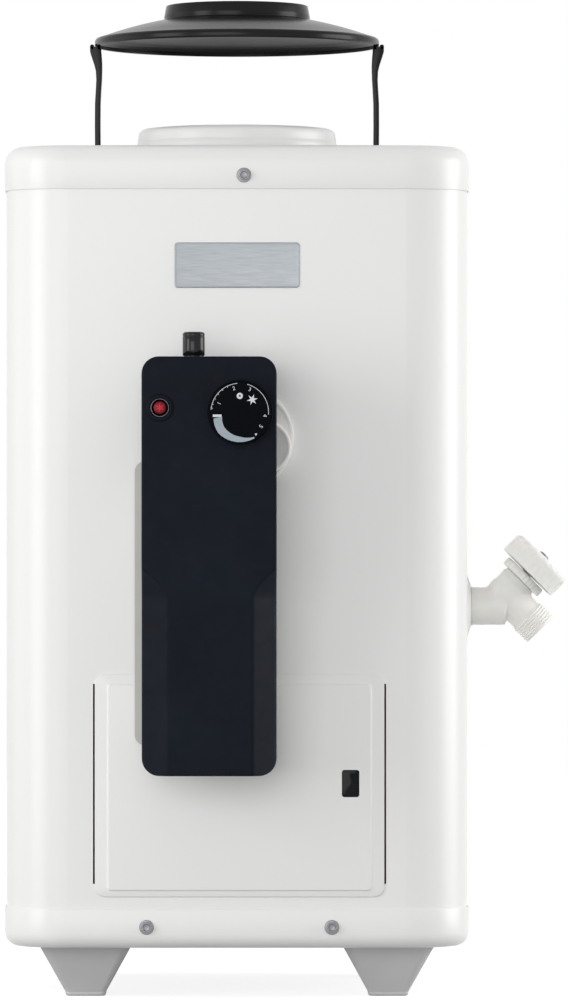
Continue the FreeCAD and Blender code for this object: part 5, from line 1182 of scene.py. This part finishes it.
class HEATER_OT_drain(Operator):
    """Moulds the drain valve: flange, body, nut, hose thread, handle and screw"""
    bl_idname = "heater.drain"
    bl_label = "Drain valve"

    def execute(self, context):
        size = Sizes("drain")
        wall_x, cone_r, face_r, tall = size.wall_x, size.flange, size.flange_face, size.flange_height
        upward, downward = slanted(size.x, size.z, 1), slanted(size.x, size.z, -1)
        shank_hole, seat, ball_r, shank_r = 10.55, 13.85, 14, 10.4
        cone = [(shank_hole, 0), (cone_r, 0), (cone_r, 0.5), (cone_r - 0.35, 1.0)]
        for i in range(1, 10):
            t = i / 10
            cone.append((cone_r - 0.35 + (face_r + 0.5 - cone_r + 0.35) * t, 1.0 + (tall - 1.1) * t ** 1.12))
        cone += [(face_r + 0.3, tall - 0.05), (face_r - 0.2, tall), (seat, tall), (seat, 2),
                 (shank_hole, 2)]
        piece("drain_cone", moved(lathe(cone, 128), facing("right", wall_x, 0, size.barrel_z)),
              "drain_nylon", nodes=["drain_flange"], sharp=40)

        start, long = wall_x + 2, size.bonnet_length
        neck_end = size.outlet_length - HOSE_THREAD
        barrel = moved(lathe([(0, 0), (size.barrel, 0), (size.barrel, size.x - start), (0, size.x - start)],
                             64, closed=False), facing("right", start, 0, size.barrel_z))
        ball = moved(lathe([(ball_r * math.cos(math.radians(a)), ball_r * math.sin(math.radians(a)))
                            for a in range(-90, 91, 6)], 64, closed=False),
                     Matrix.Translation((size.x, 0, size.z)))
        neck = moved(lathe([(0, 0), (size.bonnet, 0), (size.bonnet, long - 1.5), (size.bonnet - 0.5, long),
                            (0, long)], 64, closed=False), upward)
        spout = moved(lathe([(0, 0), (size.outlet_neck + 0.6, 0), (size.outlet_neck + 0.1, neck_end * 0.6),
                             (size.outlet_neck, neck_end + 2), (0, neck_end + 2)], 64, closed=False),
                      downward)

        def melt(thing):
            """Runs the four round forms into one moulding."""
            change = thing.modifiers.new("melt", "REMESH")
            change.mode = "VOXEL"
            change.voxel_size = 0.75 * MM
            change.use_smooth_shade = True
            relax = thing.modifiers.new("relax", "SMOOTH")
            relax.factor, relax.iterations = 0.5, 16
            baked(thing)
        bore = moved(peg(size.outlet_bore, neck_end - 4, size.outlet_length + 2), downward)
        piece("valve_body", joined(barrel, ball, neck, spout), "drain_nylon", nodes=["drain_body"],
              cutters=[bore], sharp=60, shape=melt)
        shank = moved(thread(shank_r, 6, 0, start - TANK_PORT + 1, 1.8, 0.7),
                      facing("right", TANK_PORT, 0, size.barrel_z))
        hose = moved(thread(size.outlet, size.outlet_bore, neck_end, size.outlet_length, size.pitch, 0.6),
                     downward)
        r = size.bonnet
        rings = [moved(lathe([(r - 1, level), (r + 0.35, level + 0.15), (r + 0.55, level + 0.6),
                              (r + 0.35, level + 1.05), (r - 1, level + 1.2)], 96),
                       slanted(size.x, size.z, 1, 5)) for level in (4.2, 6.4)]
        r = size.barrel
        rings.append(moved(lathe([(r - 1, 0), (r + 0.3, 0.1), (r + 0.35, 1.3), (r - 1, 1.5)], 96),
                           facing("right", wall_x + tall + 0.2, 0, size.barrel_z)))
        piece("hose_thread", joined(shank, hose, *rings), "drain_nylon", sharp=50)

        r, tall = size.nut, size.nut_height
        nut = lathe([(STEM_HOLE, 0), (r - 0.4, 0), (r, 0.4), (r, 1.6), (r, tall - 1), (r - 0.3, tall - 0.4),
                     (r - 1, tall), (r - 3, tall), (r - 3.3, tall - 0.4), (STEM_HOLE, tall - 0.4)], 192,
                    ribs=32, rib_depth=0.45, ribbed=lambda radius, height: radius > size.nut - 0.9)
        piece("bonnet_nut", moved(nut, slanted(size.x, size.z, 1, long)), "drain_nylon",
              nodes=["drain_bonnet_nut"], sharp=40)

        r, tall, edge = size.handle, size.handle_height, 4.0
        cap = [(4.15, 0), (7, 0), (7, tall - 6), (r - 3, tall - 6), (r - 3, 0.5), (r - 2.6, 0), (r - 0.5, 0),
               (r, 0.5), (r, 2), (r, tall * 0.4), (r, tall - edge - 1)]
        cap += arc(r - edge, tall - edge, edge, 0, 90, 10)
        cap += [(r - edge - 2, tall - 0.05), (r - 7.5, tall - 0.5), (r - 8.2, tall - 0.9), (8, tall - 1),
                (7.4, tall - 0.6), (6.4, tall - 0.3), (2.2, tall - 0.3), (2.2, tall - 3), (4.15, tall - 3)]
        handle = lathe(cap, 216, ribs=18, rib_depth=0.55,
                       ribbed=lambda radius, height: radius > r - 1.5 and 1 < height < tall - 1.2)
        piece("handle_cap", moved(handle, slanted(size.x, size.z, 1, size.handle_base)), "drain_nylon",
              body="drain_screw", nodes=["drain_handle"], sharp=45)
        head = lathe([(0, -9), (2, -9), (2, 0), (4.2, 0), (4.2, 0.7), (3.7, 1.4), (2.6, 1.85), (0, 2)], 48,
                     closed=False)
        on_top = slanted(size.x, size.z, 1, size.handle_base + tall)
        piece("handle_screw", moved(head, on_top), "zinc_steel", body="drain_screw",
              nodes=["drain_handle_screw"], cutters=[moved(bar(-5, -0.5, 5, 0.5, 1.0, 3, 0.1), on_top)])
        return {"FINISHED"}


class HEATER_OT_water(Operator):
    """Cuts the threads of the two water nipples at the rear"""
    bl_idname = "heater.water"
    bl_label = "Water nipples"

    def execute(self, context):
        radius, bore, pitch, depth = 10.67, 7.9, 1.81, 1.1
        for name, node, x, z in (("cold_nipple", "cold_inlet_nipple", -70, 290),
                                 ("hot_nipple", "hot_outlet_nipple", 70, 520)):
            inner = lathe([(bore, 0), (10.2, 0), (10.2, 62), (bore, 62)], 64)
            outer = thread(radius, bore, 0, 24, pitch, depth)
            form = joined(moved(inner, facing("rear", 0, 105, 0)), moved(outer, facing("rear", 0, 166, 0)))
            piece(name, moved(form, Matrix.Translation((x, 0, z))), "galvanised_pipe", nodes=[node],
                  sharp=50)
        return {"FINISHED"}


class HEATER_OT_dress(Operator):
    """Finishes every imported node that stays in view"""
    bl_idname = "heater.dress"
    bl_label = "Finish the packed nodes"

    def execute(self, context):
        for part in frame["record"]["subparts"]:
            node = frame["nodes"][part["node"]]
            if not node.hide_render:
                node.data.materials.clear()
                node.data.materials.append(finish(part["material_slot"]))
        return {"FINISHED"}


class HEATER_OT_stage(Operator):
    """Lays the pale floor, hangs the soft lights and places the camera"""
    bl_idname = "heater.stage"
    bl_label = "Stage"

    def light(self, name, strength, size_x, size_y, place, aim):
        """Hangs one soft lamp, at a place in metres and turned to its aim."""
        lamp = bpy.data.lights.new(name, "AREA")
        lamp.shape = "RECTANGLE"
        lamp.size, lamp.size_y = size_x, size_y
        lamp.energy = strength * math.pi * size_x * size_y
        stand = bpy.data.objects.new(name, lamp)
        bpy.context.scene.collection.objects.link(stand)
        stand.location = place
        stand.rotation_euler = (Vector(aim) - Vector(place)).to_track_quat("-Z", "Y").to_euler()

    def execute(self, context):
        stage = group("stage")
        axis = AXIS * MM
        half = stage.floor / 2
        floor = bpy.data.objects.new("floor", mesh_of("floor", (
            [(x * half / MM, y * half / MM, 0) for x, y in ((-1, -1), (1, -1), (1, 1), (-1, 1))],
            [(0, 1, 2, 3)])))
        context.scene.collection.objects.link(floor)
        pale = Surface("pale_floor", linear(170, 170, 170), 0.8, glint=0.1)
        pale.vary_colour(pale.noise(400), 0.99, 1.01)
        pale.set("Emission Color", (1, 1, 1, 1))
        path = pale.node("ShaderNodeLightPath")
        seen = pale.node("ShaderNodeMath", {0: path.outputs["Is Camera Ray"],
                                            1: path.outputs["Is Glossy Ray"]}, operation="MAXIMUM").outputs[0]
        pale.set("Emission Strength", pale.span(seen, 0.0, 0.82, 0, 1))
        floor.data.materials.append(pale.material)

        world = bpy.data.worlds.new("studio")
        context.scene.world = world
        world.use_nodes = True
        nodes, links = world.node_tree.nodes, world.node_tree.links
        back = nodes["Background"]
        back.inputs["Color"].default_value = (1, 1, 1, 1)
        path = nodes.new("ShaderNodeLightPath")
        seen = path.outputs["Is Camera Ray"]
        for ray in ("Is Glossy Ray", "Is Transmission Ray"):
            most = nodes.new("ShaderNodeMath")
            most.operation = "MAXIMUM"
            links.new(seen, most.inputs[0])
            links.new(path.outputs[ray], most.inputs[1])
            seen = most.outputs[0]
        level = nodes.new("ShaderNodeMapRange")
        links.new(seen, level.inputs["Value"])
        level.inputs["To Min"].default_value = stage.ambient
        level.inputs["To Max"].default_value = 1
        links.new(level.outputs["Result"], back.inputs["Strength"])

        aim = (axis.x, axis.y, 0.36)
        for name, strength, wide, tall, x, y, z in (("key_left", 3.85, 0.9, 1.3, -1.75, -1.15, 0.6),
                                                    ("side_left", 0.6, 1.1, 1.4, -1.9, 0.25, 0.5),
                                                    ("side_right", 4.6, 1.1, 1.4, 1.9, -0.05, 0.5),
                                                    ("front_fill", 2.62, 1.6, 1.2, -0.6, -2.6, 0.6)):
            self.light(name, strength, wide, tall, (axis.x + x, axis.y + y, z), aim)

        camera = bpy.data.cameras.new("camera")
        camera.sensor_fit = "AUTO"
        camera.sensor_width = 24
        camera.lens = stage.lens
        camera.shift_x, camera.shift_y = stage.shift_x, stage.shift_y
        stand = bpy.data.objects.new("camera", camera)
        stand.location = (axis.x, axis.y - stage.distance, stage.height)
        stand.rotation_euler = (math.radians(90), 0, 0)
        context.scene.collection.objects.link(stand)
        context.scene.camera = stand
        context.scene.view_settings.view_transform = "Standard"
        return {"FINISHED"}


OPERATORS = [HEATER_OT_casing, HEATER_OT_feet, HEATER_OT_screws, HEATER_OT_flue, HEATER_OT_nameplate,
             HEATER_OT_door, HEATER_OT_cover, HEATER_OT_dial, HEATER_OT_igniter, HEATER_OT_inlet,
             HEATER_OT_drain, HEATER_OT_water, HEATER_OT_dress, HEATER_OT_stage]


class HEATER_PT_panel(Panel):
    """Lists the steps that dress the heater, and its sizes and colours"""
    bl_idname = "HEATER_PT_panel"
    bl_label = "Gas water heater"
    bl_space_type = "VIEW_3D"
    bl_region_type = "UI"
    bl_category = "Heater"

    def draw(self, context):
        for step in OPERATORS:
            self.layout.operator(step.bl_idname)
        for name, kind in GROUPS.items():
            box = self.layout.box()
            box.label(text=name.capitalize())
            for key in kind.__annotations__:
                box.prop(group(name), key)


CLASSES = [*GROUPS.values(), *OPERATORS, HEATER_PT_panel]


def register():
    for kind in CLASSES:
        bpy.utils.register_class(kind)
    for name, kind in GROUPS.items():
        setattr(bpy.types.Scene, "heater_" + name, PointerProperty(type=kind))


def unregister():
    for name in GROUPS:
        delattr(bpy.types.Scene, "heater_" + name)
    for kind in reversed(CLASSES):
        bpy.utils.unregister_class(kind)


def main():
    for name in ("Cube", "Light", "Camera"):
        spare = bpy.data.objects.get(name)
        if spare:
            bpy.data.objects.remove(spare)
    register()
    for step in OPERATORS:
        area, verb = step.bl_idname.split(".")
        if getattr(getattr(bpy.ops, area), verb)() != {"FINISHED"}:
            raise RuntimeError("%s could not finish" % step.bl_label)


if __name__ == "__main__":
    main()
